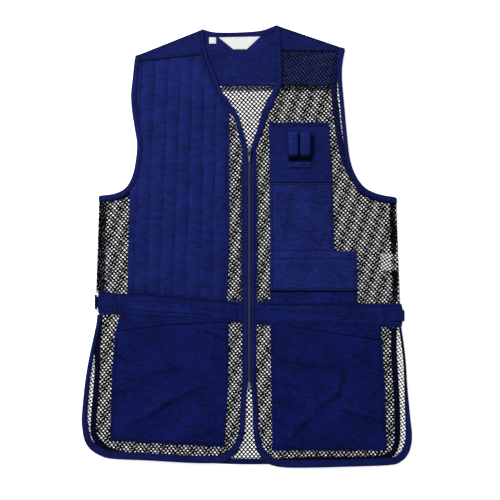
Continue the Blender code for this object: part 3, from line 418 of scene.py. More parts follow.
def area_of(outline):
    """Signed area, positive counter-clockwise."""
    x, y = outline[:, 0], outline[:, 1]
    return 0.5 * float(np.sum(x * np.roll(y, -1) - np.roll(x, -1) * y))


def turned_out(outline):
    """The outline, counter-clockwise."""
    return outline if area_of(outline) > 0 else outline[::-1]


def segment_sum(rows, points):
    """The sum of soft ridges along segments. Columns: x, y, x, y, height, width."""
    total = np.zeros(len(points))
    for x0, y0, x1, y1, height, width in rows:
        start, way = np.array((x0, y0), float), np.array((x1 - x0, y1 - y0), float)
        share = np.clip(((points - start) @ way) / (way @ way), 0, 1)
        away = np.linalg.norm(points - start - share[:, None] * way, axis=1)
        total += height * np.exp(-((away / width) ** 2))
    return total


def rough(points, size, seed, octaves=3):
    """Smooth noise over the plan, about -1 to 1, with features of a size in millimetres."""
    return np.array([
        noise.fractal(Vector((x / size, y / size, seed)), 0.8, 2.0, octaves,
                      noise_basis="PERLIN_ORIGINAL")
        for x, y in points
    ])


def drape(points):
    """Rise of everything in the front layer over the flat: the waves and small swells."""
    points = np.asarray(points, float).reshape(-1, 2)
    return segment_sum(WAVES, points) + 0.35 * rough(points, 55, 3.1, 2)


class Fold:
    """A fold edge, where the wall of the back turns over to the front."""

    def __init__(self, row, inset=0.0):
        self.ends = sorted([row[:2], row[2:]], key=lambda end: end[1])
        self.inset = inset
        self.start = np.array(row[:2], float)
        way = np.array(row[2:], float) - self.start
        self.way = way / np.linalg.norm(way)
        self.out = np.array((-self.way[1], self.way[0]))
        self.length = float(np.linalg.norm(way))

    def seam_x(self, y):
        """x of the seam that runs an inset beside the fold."""
        xs, ys = zip(*self.ends)
        return float(np.interp(y, ys, xs)) + self.inset

    def beyond(self, point):
        """How far a point is past the start of the turn."""
        return float((point[:2] - self.start) @ self.out) + FOLD_RADIUS

    def foot(self, point):
        """The nearest point where the turn starts."""
        return point[:2] - self.out * self.beyond(point)

    def unfold(self, point):
        """The opened place of a point of the front."""
        return point[:2] + self.out * (2 * -self.beyond(point) + FOLD_LENGTH)

    def refold(self, point):
        """The plan place of an opened point and its angle, 0 on the front, pi behind."""
        past = self.beyond(point)
        if past <= 1e-6:
            return np.array(point[:2]), math.pi
        if past < FOLD_LENGTH - 1e-6:
            return point[:2] - self.out * past, math.pi * (1 - past / FOLD_LENGTH)
        return point[:2] - self.out * (2 * past - FOLD_LENGTH), 0.0

    def lines(self):
        """Lines along the opened fold, one for each step of its turn."""
        first, last = -self.way * FOLD_REACH, self.way * (self.length + FOLD_REACH)
        outs = (self.out * (k * FOLD_LENGTH / FOLD_STEPS - FOLD_RADIUS)
                for k in range(FOLD_STEPS + 1))
        return [(self.start + first + out, self.start + last + out) for out in outs]


def carried(points, folds):
    """Opened points of the plan taken back round the nearest fold: their places, their
    angles and the ways out of their folds."""
    rows = []
    for point in points:
        fold = max(folds, key=lambda one: one.beyond(point))
        rows.append((*fold.refold(point), fold.out))
    places, angles, outs = zip(*rows)
    return places, np.array(angles), np.array(outs)


def stand_many(places, angles, outs, thick, rise=0.0, back_thick=None):
    """Inside and outside points of a wall over places of the plan, as two arrays. The
    wall stands on the fronts at angle 0 and lies on the floor, turned over, at pi."""
    back_thick = thick if back_thick is None else back_thick
    places = np.asarray(places, float).reshape(-1, 2)
    angles = np.broadcast_to(angles, len(places))
    outs = np.broadcast_to(outs, places.shape)
    behind = (1 - np.cos(angles)) / 2
    front_in = FRONT + rise + drape(places)
    front_out = front_in + thick
    side = np.sin(angles) / 2
    inner = places + outs * (side * (front_in - back_thick))[:, None]
    outer = places + outs * (side * front_out)[:, None]
    z_in = front_in + (back_thick - front_in) * behind
    z_out = front_out * (1 - behind)
    return np.column_stack([inner, z_in]), np.column_stack([outer, z_out])


# ---------------------------------------------------------------- mesh making

# Edge of a cloth piece: inset of its inner ring, drop and painted shade
EDGE_RING = 0.9
EDGE_DROP = 0.55
EDGE_SHADE = 0.35

# Sewn grooves, with painted shade in them, and creases, whose painted shadow is on the side away
# from the light
GROOVE_DEPTH = 0.45
GROOVE_SHADE = 0.6
CREASE_SHADE = 0.55
CREASE_FULL = 1.6
LIGHT_WAY = (1.0, -1.2)


def add_mesh(name, points, faces, material, angle, painted_shade=None, fix=True):
    """A smooth-shaded mesh object from points in millimetres of the plan."""
    data = bpy.data.meshes.new(name)
    moved = (np.asarray(points, float) + SHIFT) * MM
    data.from_pydata(moved.tolist(), [], [list(map(int, f)) for f in faces])
    # Painted shade: a share for each point, how far its cloth colour is darkened for shade in
    # grooves, at edges, under parts and beside creases
    if painted_shade is not None:
        layer = data.attributes.new("painted_shade", "FLOAT", "POINT")
        layer.data.foreach_set("value", np.asarray(painted_shade, np.float32))
    if fix:
        form = bmesh.new()
        form.from_mesh(data)
        loose = [v for v in form.verts if not v.link_faces]
        bmesh.ops.delete(form, geom=loose, context="VERTS")
        bmesh.ops.recalc_face_normals(form, faces=form.faces)
        form.to_mesh(data)
        form.free()
    data.polygons.foreach_set("use_smooth", [True] * len(data.polygons))
    data.set_sharp_from_angle(angle=math.radians(angle))
    data.materials.append(material)
    obj = bpy.data.objects.new(name, data)
    bpy.context.scene.collection.objects.link(obj)
    return obj


def place(obj, slot, *nodes, body="vest"):
    """Puts a piece on its body, in place of the nodes that it replaces; the slot is not used."""
    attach(obj, body)
    if nodes:
        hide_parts(*nodes)
    return obj


def paint_light_under_net(obj, material, below, start=-300.0):
    """Gives the inside of the back, where a net covers it, a lighter copy of its material:
    painted light on the parts under the net. The nets cover it up to a level of y, from an x."""
    obj.data.materials.append(material)
    for face in obj.data.polygons:
        x, y = np.array(face.center[:2]) / MM - SHIFT[:2]
        if x > start and y < below and face.center.z < FRONT * MM and face.normal.z > 0.3:
            face.material_index = 1


def outline_of(node):
    """The plan outline of a node's upper face, counter-clockwise, in the part's plan."""
    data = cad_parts[node].data
    count = len(data.vertices)
    points = np.empty(count * 3)
    data.vertices.foreach_get("co", points)
    points = points.reshape(-1, 3) / MM - SHIFT
    keys = np.round(points, 2)
    _, first, index = np.unique(keys, axis=0, return_index=True, return_inverse=True)
    index = index.reshape(-1)
    edges = {}
    for face in data.polygons:
        corners = [int(index[v]) for v in face.vertices]
        if face.normal.z < 0.5:
            continue
        for a, b in zip(corners, corners[1:] + corners[:1]):
            edges[(a, b)] = True
    rim = {a: b for a, b in edges if (b, a) not in edges}
    start = next(iter(rim))
    loop, at = [start], rim[start]
    while at != start and len(loop) <= len(rim):
        loop.append(at)
        at = rim[at]
    return turned_out(points[first[loop]][:, :2])


def resample(outline, step):
    """A closed outline with points no further apart than step, its corners kept."""
    out = []
    for start, end in zip(outline, np.roll(outline, -1, axis=0)):
        count = max(1, math.ceil(np.linalg.norm(end - start) / step))
        out += [start + (end - start) * k / count for k in range(count)]
    return np.array(out)


def lattice(outline, pitch, gap):
    """Points in a triangle pattern inside an outline, a gap away from it."""
    low, high = outline.min(axis=0), outline.max(axis=0)
    row = pitch * math.sqrt(0.75)
    js = np.arange(math.floor(low[1] / row), math.ceil(high[1] / row) + 1)
    xs = np.arange(math.floor(low[0] / pitch) - 1, math.ceil(high[0] / pitch) + 1)
    points = np.array([(i * pitch + 0.5 * pitch * (j % 2), j * row) for j in js for i in xs])
    points = points[within(points, outline)]
    return points[distance(points, outline) > gap]


def fill(outline, points, lines):
    """Triangles that fill an outline, through the points and along the lines."""
    corners = [Vector(p) for p in outline]
    edges = [(i, (i + 1) % len(outline)) for i in range(len(outline))]
    corners += [Vector(p) for p in points]
    for line in lines:
        first = len(corners)
        corners += [Vector(p) for p in line]
        edges += [(first + k, first + k + 1) for k in range(len(line) - 1)]
    flat, _, faces, *_ = delaunay_2d_cdt(corners, edges, [], 1, 1e-4)
    return np.array([tuple(p) for p in flat]), [tuple(f) for f in faces]


def shell_faces(faces, count):
    """These faces turned over, the same ones count points on, and the sides between."""
    sides = {(a, b) for f in faces for a, b in zip(f, f[1:] + f[:1])}
    solid = [f[::-1] for f in faces] + [tuple(v + count for v in f) for f in faces]
    return solid + [(a, b, b + count, a + count) for a, b in sides if (b, a) not in sides]


def ring_faces(here, there, count):
    """The faces between two rings of count points, from the numbers of their first ones."""
    return [(here + k, here + n, there + n, there + k)
            for k, n in zip(range(count), [*range(1, count), 0])]


def wall_mesh(name, faces, lower, upper, material, painted_shade, angle=50):
    """A closed shell between two point arrays over the same triangles."""
    points = np.vstack([lower, upper])
    shade = np.concatenate([painted_shade * 0, painted_shade])
    return add_mesh(name, points, shell_faces(faces, len(lower)), material, angle, shade)


def ease(value, start, end):
    """A soft step from 0 at start to 1 at end."""
    share = np.clip((value - start) / (end - start), 0, 1)
    return share * share * (3 - 2 * share)


def near_lines(points, lines):
    """Distance to the nearest of several open lines."""
    best = np.full(len(points), 1e9)
    for line in lines:
        best = np.minimum(best, distance(points, line, closed=False))
    return best


def kept_lines(lines, outline, gap=2.0):
    """The parts of lines well inside an outline."""
    out = []
    for line in lines:
        keep = within(line, outline) & (distance(line, outline) > gap)
        runs = np.split(np.arange(len(line)), np.flatnonzero(np.diff(keep)) + 1)
        out += [line[run] for run in runs if keep[run[0]] and len(run) > 1]
    return out


def groove_lines(lines, width=1.5):
    """Each line with a neighbour on both sides, so that a groove along it has points."""
    out = []
    for line in lines:
        out += [beside(line, width), line, beside(line, -width)]
    return out


def crease_shadow(rows, points):
    """How far each point lies in the shadow beside a crease, on the side away from the light."""
    moved = []
    for x0, y0, x1, y1, height, width in rows:
        side = np.array((y0 - y1, x1 - x0), float)
        side *= 0.6 * width / np.linalg.norm(side) * (1 if side @ LIGHT_WAY > 0 else -1)
        # Painted shadow, stronger beside higher creases
        shadow_strength = CREASE_SHADE * min(height / CREASE_FULL, 1.0)
        moved.append((x0 + side[0], y0 + side[1], x1 + side[0], y1 + side[1], shadow_strength, 0.5 * width))
    return segment_sum(moved, points)


def cloth_shell(node, rise, thick, material, pitch=4.5, *, seed, grooves=(), hems=(),
                swell=0.18, back=False, low=0.0, grow=0.0, shades=(), tuck=0.0, bulge=None):
    """A cloth piece as a closed shell with rounded edges, sewn grooves, raised hems,
    creases and small swells over its outline. shades are (path, reach) of shadow lines,
    tuck lengthens the low edge under its neighbour, and bulge is (way, y, half, reach)
    of a rounded end inside a strap's fold."""
    outline = beside(resample(outline_of(node), pitch), -grow, True)
    outline[outline[:, 1] < outline[:, 1].min() + 1.0, 1] -= tuck
    if bulge:
        way, middle, half, far = bulge
        end = way * outline[:, 0] > np.max(way * outline[:, 0]) - 3.0
        outline[end, 0] += way * far * np.exp(-(((outline[end, 1] - middle) / half) ** 2))
    ring = resample(beside(outline, EDGE_RING, True), pitch)
    inner = lattice(outline, pitch, 1.9)
    sewn = kept_lines(grooves, outline)
    creases = CREASES.get(node, ())
    ridges = [straight([row[:2], row[2:4]], 4.0) for row in creases]
    fine = kept_lines(groove_lines(grooves), outline, 1.2)
    for line, row in zip(ridges, creases):
        fine += kept_lines(groove_lines([line], 0.7 * row[5]), outline, 1.2)
    for path, reach in shades:
        fine += kept_lines(groove_lines([path, beside(path, 2 * reach)], reach), outline, 1.0)
    if fine:
        inner = inner[near_lines(inner, fine) > 1.0]
    closed_ring = np.vstack([ring, ring[:1]])
    flat, faces = fill(outline, inner, [closed_ring, *fine])
    edge = distance(flat, outline)
    drop = EDGE_DROP * thick * (1 - ease(edge, 0.0, 0.8))
    extra = np.zeros(len(flat))
    for path, width, height in hems:
        extra += height * (1 - ease(near_lines(flat, [path]), width - 0.8, width + 0.8))
    groove = np.exp(-((near_lines(flat, sewn) / 1.0) ** 2)) if sewn else 0 * edge
    fold = segment_sum(creases, flat) * ease(edge, 0.0, 4.0)
    shadow = crease_shadow(creases, flat)
    for path, reach in shades:
        shadow += 1 - ease(near_lines(flat, [path]), 0.7 * reach, 1.6 * reach)
    swells = swell * (rough(flat, 16, seed) + 0.6 * rough(flat, 34, seed + 9, 2))
    top = extra - GROOVE_DEPTH * groove - drop + swells + np.minimum(fold, 0)
    if back:
        lower = np.column_stack([flat, np.full(len(flat), low)])
        upper = np.column_stack([flat, low + thick + 0.5 * top])
    else:
        base = FRONT + rise + drape(flat) + np.maximum(fold, 0)
        lower = np.column_stack([flat, base])
        upper = np.column_stack([flat, base + thick + top])
    # Painted shade: in the sewn grooves, along the rim, and in the shadows beside creases and
    # along the given shade lines
    rim = 1 - ease(edge, 0, 1.6)
    painted_shade = np.clip(GROOVE_SHADE * groove + EDGE_SHADE * rim + shadow, 0, 1)
    obj = wall_mesh(node + "_cloth", faces, lower, upper, material, painted_shade)
    return obj, outline


def surface_height(level):
    """A function of plan points: the height of a front piece at a level over the back."""
    return lambda points: level + drape(points)


# ---------------------------------------------------------------- net

# Height of the yarn, its height at a hole's rim from above and below, and open shares
YARN = 0.9
RIM_TOP = 0.62
RIM_LOW = 0.28
FRONT_HOLE = 0.52
BACK_HOLE = 0.38
HOLE_STRETCH = 1.13
YARN_WOBBLE = 0.12


def net_mesh(name, outline, to_space, pitch, turn, offset, material, hole, grow=2.2):
    """An open net: one frame of yarn round each six-sided hole, joined at its corners.
    to_space takes opened plan points and heights over the inside to points in space.
    hole is the open share of each cell."""
    pitch_x, pitch_y = pitch
    angle = math.radians(turn)
    ca, sa = math.cos(angle), math.sin(angle)
    low, high = outline.min(axis=0) - 20, outline.max(axis=0) + 20
    reach = float(np.max(np.abs([low, high]))) * 1.5
    nu, nv = int(reach / (pitch_x / 2)) + 2, int(reach / pitch_y) + 2
    u, v = np.meshgrid(np.arange(-nu, nu + 1), np.arange(-nv, nv + 1))
    keep = (u + v) % 2 == 0
    u, v = u[keep], v[keep]

    def spin(x, y):
        return np.column_stack([x * ca - y * sa, x * sa + y * ca])

    def plan(u, v):
        return spin(u * pitch_x / 2 + offset[0], v * pitch_y + offset[1])

    centres = plan(u, v)
    box = np.all((centres > low) & (centres < high), axis=1)
    u, v, centres = u[box], v[box], centres[box]
    good = within(centres, outline) | (distance(centres, outline) < grow)
    u, v, centres = u[good], v[good], centres[good]
    wobble = np.column_stack([
        np.sin(centres[:, 0] * 0.37 + centres[:, 1] * 0.11),
        np.cos(centres[:, 1] * 0.41 - centres[:, 0] * 0.07),
    ]) * YARN_WOBBLE

    corner_u = np.stack([u + 1, u, u - 1, u], axis=1).reshape(-1)
    corner_v = np.stack([v, v + 1, v, v - 1], axis=1).reshape(-1)
    pairs = np.column_stack([corner_u, corner_v])
    keys, index = np.unique(pairs, axis=0, return_inverse=True)
    corners = index.reshape(-1, 4)
    corner_plan = plan(keys[:, 0].astype(float), keys[:, 1].astype(float))
    size = math.sqrt(hole * pitch_x * pitch_y / 3)
    hx, hy = size * HOLE_STRETCH, size / HOLE_STRETCH
    hexagon = np.array([
        (hx, 0), (hx * 0.5, hy), (-hx * 0.5, hy), (-hx, 0), (-hx * 0.5, -hy), (hx * 0.5, -hy),
    ])
    turned = spin(hexagon[:, 0], hexagon[:, 1])
    rim_plan = (centres[:, None, :] + wobble[:, None, :] + turned[None]).reshape(-1, 2)

    points = np.vstack([
        to_space(flat, np.full(len(flat), level * YARN))
        for flat, level in (
            (corner_plan, 1.0), (corner_plan, 0.0), (rim_plan, RIM_TOP), (rim_plan, RIM_LOW),
        )
    ])
    nc, nr = len(corner_plan), len(rim_plan)
    rim = np.arange(nr).reshape(-1, 6) + 2 * nc
    e, n, w, s = corners.T
    r0, r1, r2, r3, r4, r5 = rim.T
    top = [
        (e, r1, r0), (e, n, r1), (n, r2, r1), (n, w, r2), (w, r3, r2),
        (w, r4, r3), (w, s, r4), (s, r5, r4), (s, e, r5), (e, r0, r5),
    ]
    upper = np.concatenate([np.column_stack(t) for t in top])
    below = upper[:, ::-1].copy()
    below = np.where(below < 2 * nc, below + nc, below + nr)
    walls = []
    for k in range(6):
        a, b = rim[:, k], rim[:, (k + 1) % 6]
        walls.append(np.column_stack([a, b, b + nr]))
        walls.append(np.column_stack([a, b + nr, a + nr]))
    ends = np.concatenate([corners[:, [k, (k + 1) % 4]] for k in range(4)])
    pairs = np.sort(ends, axis=1)
    _, where, times = np.unique(pairs, axis=0, return_inverse=True, return_counts=True)
    lone = ends[times[where.reshape(-1)] == 1]
    a, b = lone.T
    sides = [np.column_stack([b, a, a + nc]), np.column_stack([b, a + nc, b + nc])]
    faces = np.concatenate([upper, below, *walls, *sides])
    return add_mesh(name, points, faces.tolist(), material, 60, fix=False)


def flat_front(points, heights):
    return np.column_stack([points, FRONT + drape(points) + heights])


def flat_back(points, heights):
    return np.column_stack([points, heights])


def folded(folds):
    """A net of the back, carried round the nearest fold."""

    def to_space(points, heights):
        inner, outer = stand_many(*carried(points, folds), MESH)
        return inner + (outer - inner) * (heights / MESH)[:, None]

    return to_space


# ---------------------------------------------------------------- bands

# Sections of a binding, with its sewn line, and of a strap. Columns: share across, share
# of the thickness
LINE_AT = 0.80
PROFILE = (
    (0.0, 0.30), (0.03, 0.72), (0.10, 0.96), (0.30, 1.04), (0.60, 1.02), (0.74, 0.94),
    (LINE_AT, 0.76), (0.86, 0.94), (0.95, 0.84), (1.0, 0.40), (1.12, 0.30), (1.10, 0.0),
    (0.07, 0.0),
)
STRAP_PROFILE = (
    (0.0, 0.3), (0.02, 0.8), (0.08, 1.0), (0.3, 0.95), (0.5, 1.05), (0.7, 0.95),
    (0.92, 1.0), (0.98, 0.8), (1.0, 0.3), (0.97, 0.0), (0.03, 0.0),
)
RIPPLE = 0.06

# Painted shade on a band: at its sewn line, at its outer edge and on its underside
LINE_SHADE = 0.8
OUTER_SHADE = 0.85
UNDER_SHADE = 0.3


def swept(name, stations, material, *, seed, closed=False, profile=PROFILE, station_shade=None):
    """A band swept through stations of (edge inside, edge outside, inner inside, inner outside)
    points, with a rounded profile. Its last argument paints shade on whole stations."""
    count, width = len(stations), len(profile)
    rows = []
    for i, (edge_in, edge_out, inner_in, inner_out) in enumerate(np.array(stations)):
        lift = 1 + RIPPLE * noise.noise(Vector((i * 0.9, seed, 0.0)))
        for across, up in profile:
            inside = edge_in + (inner_in - edge_in) * across
            outside = edge_out + (inner_out - edge_out) * across
            rows.append(inside + (outside - inside) * up * (lift if up > 0.5 else 1))
    faces = []
    for i in range(count if closed else count - 1):
        faces += ring_faces(width * i, width * ((i + 1) % count), width)
    if not closed:
        last = width * (count - 1)
        faces += [tuple(range(width)), tuple(range(last, last + width))[::-1]]
    # Painted shade across the profile: at the sewn line's groove, at the outer edge and on the
    # underside
    painted_shade = np.tile([
        LINE_SHADE if across == LINE_AT else OUTER_SHADE if across < 0.05
        else UNDER_SHADE if up < 0.5 else 0.0
        for across, up in profile
    ], count)
    if station_shade is not None:
        painted_shade = np.maximum(painted_shade, np.repeat(station_shade, width))
    return add_mesh(name, rows, faces, material, 55, painted_shade)


def band_stations(edge, inner, angle, thick, back_thick, rise=0.0, out=(0.0, 0.0)):
    """Stations of a band between two paths, on the front at angle 0 and behind at pi."""
    a_in, a_out = stand_many(edge[:, :2], angle, out, thick, rise, back_thick)
    b_in, b_out = stand_many(inner[:, :2], angle, out, thick, rise, back_thick)
    return list(zip(a_in, a_out, b_in, b_out))


def turn_stations(front, back, out, downward):
    """Stations of a binding round a fold, from its ends in front to those behind."""
    turns = [math.pi * k / FOLD_STEPS for k in range(1, FOLD_STEPS)]
    if not downward:
        turns.reverse()
    rows = []
    for angle in turns:
        share = (1 - math.cos(angle)) / 2
        ends = [np.array([f[:2] + (b[:2] - f[:2]) * share]) for f, b in zip(front, back)]
        rows += band_stations(*ends, angle, BINDING, BACK_BINDING, out=out)
    return rows


# Edge and inner edge of a binding in front, its piece, and an armhole's inner edge behind
Binding = namedtuple("Binding", "edge inner piece behind", defaults=[None])


def armhole_binding(side, front_rows, back_rows, shoulder, fold, turn):
    """The binding round an armhole, over the shoulder and the side fold."""
    front, back = smooth(front_rows), smooth(back_rows)
    narrow = ease(front[:, 1], *NARROW_LOW) * (1 - ease(front[:, 1], *NARROW_HIGH)) * (turn < 0)
    front_in = beside(front, turn * (ARMHOLE_BAND - ARMHOLE_NARROW * narrow))
    back_in = beside(back, turn * ARMHOLE_BAND)
    for path in (front, front_in, back, back_in):
        path[0], path[-1] = shoulder.foot(path[0]), fold.foot(path[-1])
    before = band_stations(front, front_in, 0.0, BINDING, BACK_BINDING)
    behind = band_stations(back, back_in, math.pi, BINDING, BACK_BINDING)
    high, low = (((front[k], front_in[k]), (back[k], back_in[k])) for k in (0, -1))
    low = turn_stations(*low, fold.out, True)
    high = turn_stations(*high, shoulder.out, False)
    node = f"armhole_binding_{side}"
    stations = before + low + behind[::-1] + high
    obj = swept(node + "_tape", stations, tape, closed=True, seed=turn + 4)
    place(obj, "binding", node)
    # Painted light: the left armhole tape takes a lighter copy where the net lies over it
    if turn < 0:
        paint_light_under_net(obj, tape_painted_light, YOKE_SEAM_LEFT[0][1])
    return Binding(front, front_in, obj, back_in)


def neck_binding(side, rows, shoulder, turn):
    """The binding of a front's neck edge, which starts behind the shoulder fold."""
    path = smooth(rows)
    inner = beside(path, turn * path[:, 2])
    edge = path[:, :2].copy()
    edge[0], inner[0] = shoulder.foot(edge[0]), shoulder.foot(inner[0])
    inner[-1][1] = edge[-1][1]
    ends = (edge[0], inner[0])
    over = turn_stations(ends, ends, shoulder.out, False)
    behind = band_stations(edge[:1], inner[:1], math.pi, BINDING, BACK_BINDING)
    before = band_stations(edge, inner, 0.0, BINDING, BACK_BINDING)
    node = f"neck_binding_{side}"
    obj = swept(node + "_tape", behind + over + before, tape, seed=turn + 8)
    return Binding(edge, inner, place(obj, "binding", node))


def hem_binding(side, rows, turn):
    """The binding of a front's vent, hem and lower front edge. The upper part of the left vent's
    binding has painted shade.
    """
    path = smooth(rows)
    inner = beside(path, turn * path[:, 2])
    inner[0][1], inner[-1][1] = path[0][1], path[-1][1]
    stations = band_stations(path, inner, 0.0, BINDING, BACK_BINDING)
    node = f"hem_binding_{side}"
    # Painted shade on the upper part of the left vent's binding, where it rolls under
    vent = ease(path[:, 1], *VENT_SHADE) * (path[:, 0] > VENT_X)
    obj = swept(node + "_tape", stations, tape, seed=turn + 12, station_shade=0.9 * vent)
    return Binding(path, inner, place(obj, "binding", node))


# ---------------------------------------------------------------- stitches

# Stitches, and where they run across a binding
STITCH_PITCH = 3.4
STITCH_LENGTH = 2.3
STITCH_WIDTH = 0.75
STITCH_HEIGHT = 0.38
STITCH_SHARE = 0.8


def stitch_mesh(name, rows, slot):
    """Many stitches as one mesh. rows are (path of plan points, function of its height)."""
    points, faces = [], []
    for path, height in rows:
        steps = np.linalg.norm(np.diff(path, axis=0), axis=1)
        along = np.concatenate([[0], np.cumsum(steps)])
        at = (np.arange(int(along[-1] / STITCH_PITCH)) + 0.5) * STITCH_PITCH
        middle, before, after = (
            np.column_stack([np.interp(at + gap, along, path[:, k]) for k in (0, 1)])
            for gap in (0.0, -0.3, 0.3)
        )
        way = after - before
        way /= np.maximum(np.linalg.norm(way, axis=1), 1e-9)[:, None]
        normal = np.column_stack([-way[:, 1], way[:, 0]])
        for m, w, n, level in zip(middle, way, normal, height(middle)):
            a, b, c, d, t, u = range(len(points), len(points) + 6)
            half, side = w * STITCH_LENGTH / 2, n * STITCH_WIDTH / 2
            points += [
                (*(m - half), level - 0.12), (*(m + half), level - 0.12),
                (*(m - side), level + 0.05), (*(m + side), level + 0.05),
                (*m, level + STITCH_HEIGHT), (*m, level - 0.3),
            ]
            faces += [
                (a, c, t), (c, b, t), (b, d, t), (d, a, t),
                (c, a, u), (b, c, u), (d, b, u), (a, d, u),
            ]
    place(add_mesh(name, points, faces, thread, 80, fix=False), slot)


# ---------------------------------------------------------------- materials


def node_kit(name):
    """A new material, a maker of its nodes, a maker of colour mixes and one that dresses
    its shader. A value that is another node's output is linked."""
    material = bpy.data.materials.new(name)
    material.use_nodes = True
    tree = material.node_tree

    def put(socket, value):
        if isinstance(value, bpy.types.NodeSocket):
            tree.links.new(value, socket)
        else:
            socket.default_value = value

    def fit(node, *ordered, **named):
        for socket, value in zip(node.inputs, ordered):
            put(socket, value)
        for key, value in named.items():
            if key.replace("_", " ") in node.inputs:
                put(node.inputs[key.replace("_", " ")], value)
            else:
                setattr(node, key, value)
        return node.outputs

    def make(kind, *ordered, **named):
        return fit(tree.nodes.new("ShaderNode" + kind), *ordered, **named)

    def mixed(factor, first, second):
        node = tree.nodes.new("ShaderNodeMix")
        node.data_type = "RGBA"
        put(node.inputs["Factor"], factor)
        put(node.inputs[6], first)
        put(node.inputs[7], second)
        return node.outputs[2]

    def dress(**named):
        fit(tree.nodes["Principled BSDF"], **named)

    return material, make, mixed, dress


def tint(colour, share):
    return [min(1, c * share) for c in colour] + [1]


def fabric(name, colour, weave=0.9, ridge=0.25, streak=(120, 340, 300), vary=0.75, matt=0.85,
           sheen=0.02, sheen_tint=(0.4, 0.5, 1.0, 1), skew=0.6, painted_shade=0.2, specular=0.06):
    """A woven cloth: two sets of ribs as bump, streaky yarn colour, and painted shade: the colour
    goes towards a shaded tint where a mesh attribute asks, in sewn grooves, at edges, under parts
    and beside creases.
    """
    material, make, mixed, dress = node_kit(name)
    where = make("TexCoord")["Object"]
    streaks = make("Mapping", Scale=streak, Vector=where)[0]
    slub = make("TexNoise", Scale=1.0, Detail=3.0, Roughness=0.6, Vector=streaks)["Fac"]
    patch = make("TexNoise", Scale=22.0, Detail=3.0, Roughness=0.55, Vector=where)["Fac"]
    faint = make("Math", patch, 0.5, operation="MULTIPLY")[0]
    both = make("Math", slub, faint, operation="ADD")[0]
    span = make("MapRange", Value=both, From_Min=0.45, From_Max=1.05)[0]
    worn = mixed(span, tint(colour, 1 - vary), tint(colour, 1 + vary))
    # Painted shade from the mesh, in grooves, at edges and beside creases; this value mixes the
    # colour towards its shaded tint
    sewn = make("Attribute", attribute_name="painted_shade")["Fac"]
    turned = make("Mapping", Rotation=(0, 0, skew), Vector=where)[0]
    ribs = [
        make("TexWave", Scale=0.314 / (weave * wide * MM), Distortion=0.6, Detail=1.0,
             Vector=turned, bands_direction=way)["Fac"]
        for way, wide in (("X", 1.0), ("Y", 1.1))
    ]
    cross = make("Math", *ribs, operation="MAXIMUM")[0]
    relief = make("Math", slub, 0.8, cross, operation="MULTIPLY_ADD")[0]
    dress(
        Base_Color=mixed(sewn, worn, tint(colour, painted_shade)),
        Normal=make("Bump", Strength=ridge, Distance=0.0004, Height=relief)["Normal"],
        Roughness=make("MapRange", Value=slub, To_Min=matt - 0.08, To_Max=matt + 0.08)[0],
        Sheen_Weight=sheen, Sheen_Roughness=0.5, Sheen_Tint=sheen_tint,
        Specular_IOR_Level=specular,
    )
    return material


def plain(name, colour, matt, metallic, grain, specular=0.5):
    """A moulded or metal surface with a fine grain in its colour, gloss and bump."""
    material, make, mixed, dress = node_kit(name)
    where = make("TexCoord")["Object"]
    grains = make("TexNoise", Scale=grain, Detail=4.0, Roughness=0.6, Vector=where)["Fac"]
    dress(
        Base_Color=mixed(grains, tint(colour, 0.88), tint(colour, 1.12)),
        Roughness=make("MapRange", Value=grains, To_Min=matt - 0.1, To_Max=matt + 0.1)[0],
        Normal=make("Bump", Strength=0.2, Distance=0.0002, Height=grains)["Normal"],
        Metallic=metallic, Specular_IOR_Level=specular,
    )
    return material


TAPE_LOOK = {"vary": 0.7, "streak": (430, 430, 300)}
YARN_LOOK = {"weave": 0.45, "ridge": 0.4, "vary": 0.35, "streak": (900, 900, 900),
             "sheen": 0.0, "specular": 0.03}
SATIN_LOOK = {"weave": 0.5, "ridge": 0.12, "vary": 0.04, "sheen_tint": (1, 1, 1, 1)}
RIB_LOOK = {"weave": 0.6, "ridge": 0.4, "skew": 0.0}

quilt_cloth = fabric("quilt_cloth", (0.0043, 0.0092, 0.079), streak=(90, 420, 300), vary=0.55)
pocket_cloth = fabric("pocket_cloth", (0.0018, 0.0048, 0.058))
chest_cloth = fabric("chest_cloth", (0.0052, 0.0102, 0.081))
# The patch and the flap body have a near-black shaded tint, for the painted shadow lines under
# the pocket top and under the flap
patch_cloth = fabric("patch_cloth", (0.0032, 0.0066, 0.060), painted_shade=0.05)
flap_cloth = fabric("flap_body_cloth", (0.0023, 0.0060, 0.062), painted_shade=0.02)
band_cloth = fabric("band_cloth", (0.0026, 0.0064, 0.0635))
yoke_cloth = fabric("yoke_cloth", (0.0030, 0.0062, 0.057))
# Lighter copies of the yoke cloth and the binding tape, as painted light for the parts that lie
# under a net
yoke_painted_light = fabric("yoke_cloth_painted_light", (0.024, 0.033, 0.135))
tape = fabric("binding_tape", (0.0034, 0.0066, 0.063), 0.7, 0.35, painted_shade=0.12, **TAPE_LOOK)
tape_painted_light = fabric("binding_tape_painted_light", (0.016, 0.023, 0.150), **TAPE_LOOK)
yarn = fabric("net_yarn", (0.0016, 0.0016, 0.0022), **YARN_LOOK)
seam_yarn = fabric("seam_yarn", (0.0070, 0.0080, 0.0300), **YARN_LOOK)
elastic = fabric("elastic_ribs", (0.0060, 0.0118, 0.104), painted_shade=0.04, **RIB_LOOK)
black_tape = fabric("black_webbing", (0.003, 0.003, 0.006), **RIB_LOOK)
label_cloth = fabric("label_satin", (0.50, 0.51, 0.50), matt=0.45, sheen=0.1, painted_shade=0.5,
                     **SATIN_LOOK)
care_cloth = fabric("care_label_satin", (0.93, 0.94, 0.93), matt=0.5, sheen=0.2, painted_shade=0.6,
                    **SATIN_LOOK)
thread = fabric("thread_dark", (0.0012, 0.002, 0.010), weave=0.35, ridge=0.3, vary=0.2)
zip_tape = fabric("zip_tape_cloth", (0.006, 0.007, 0.012), weave=0.5, ridge=0.3, skew=0.0)
steel = plain("zip_steel", (0.15, 0.15, 0.16), 0.4, 0.5, 500.0)
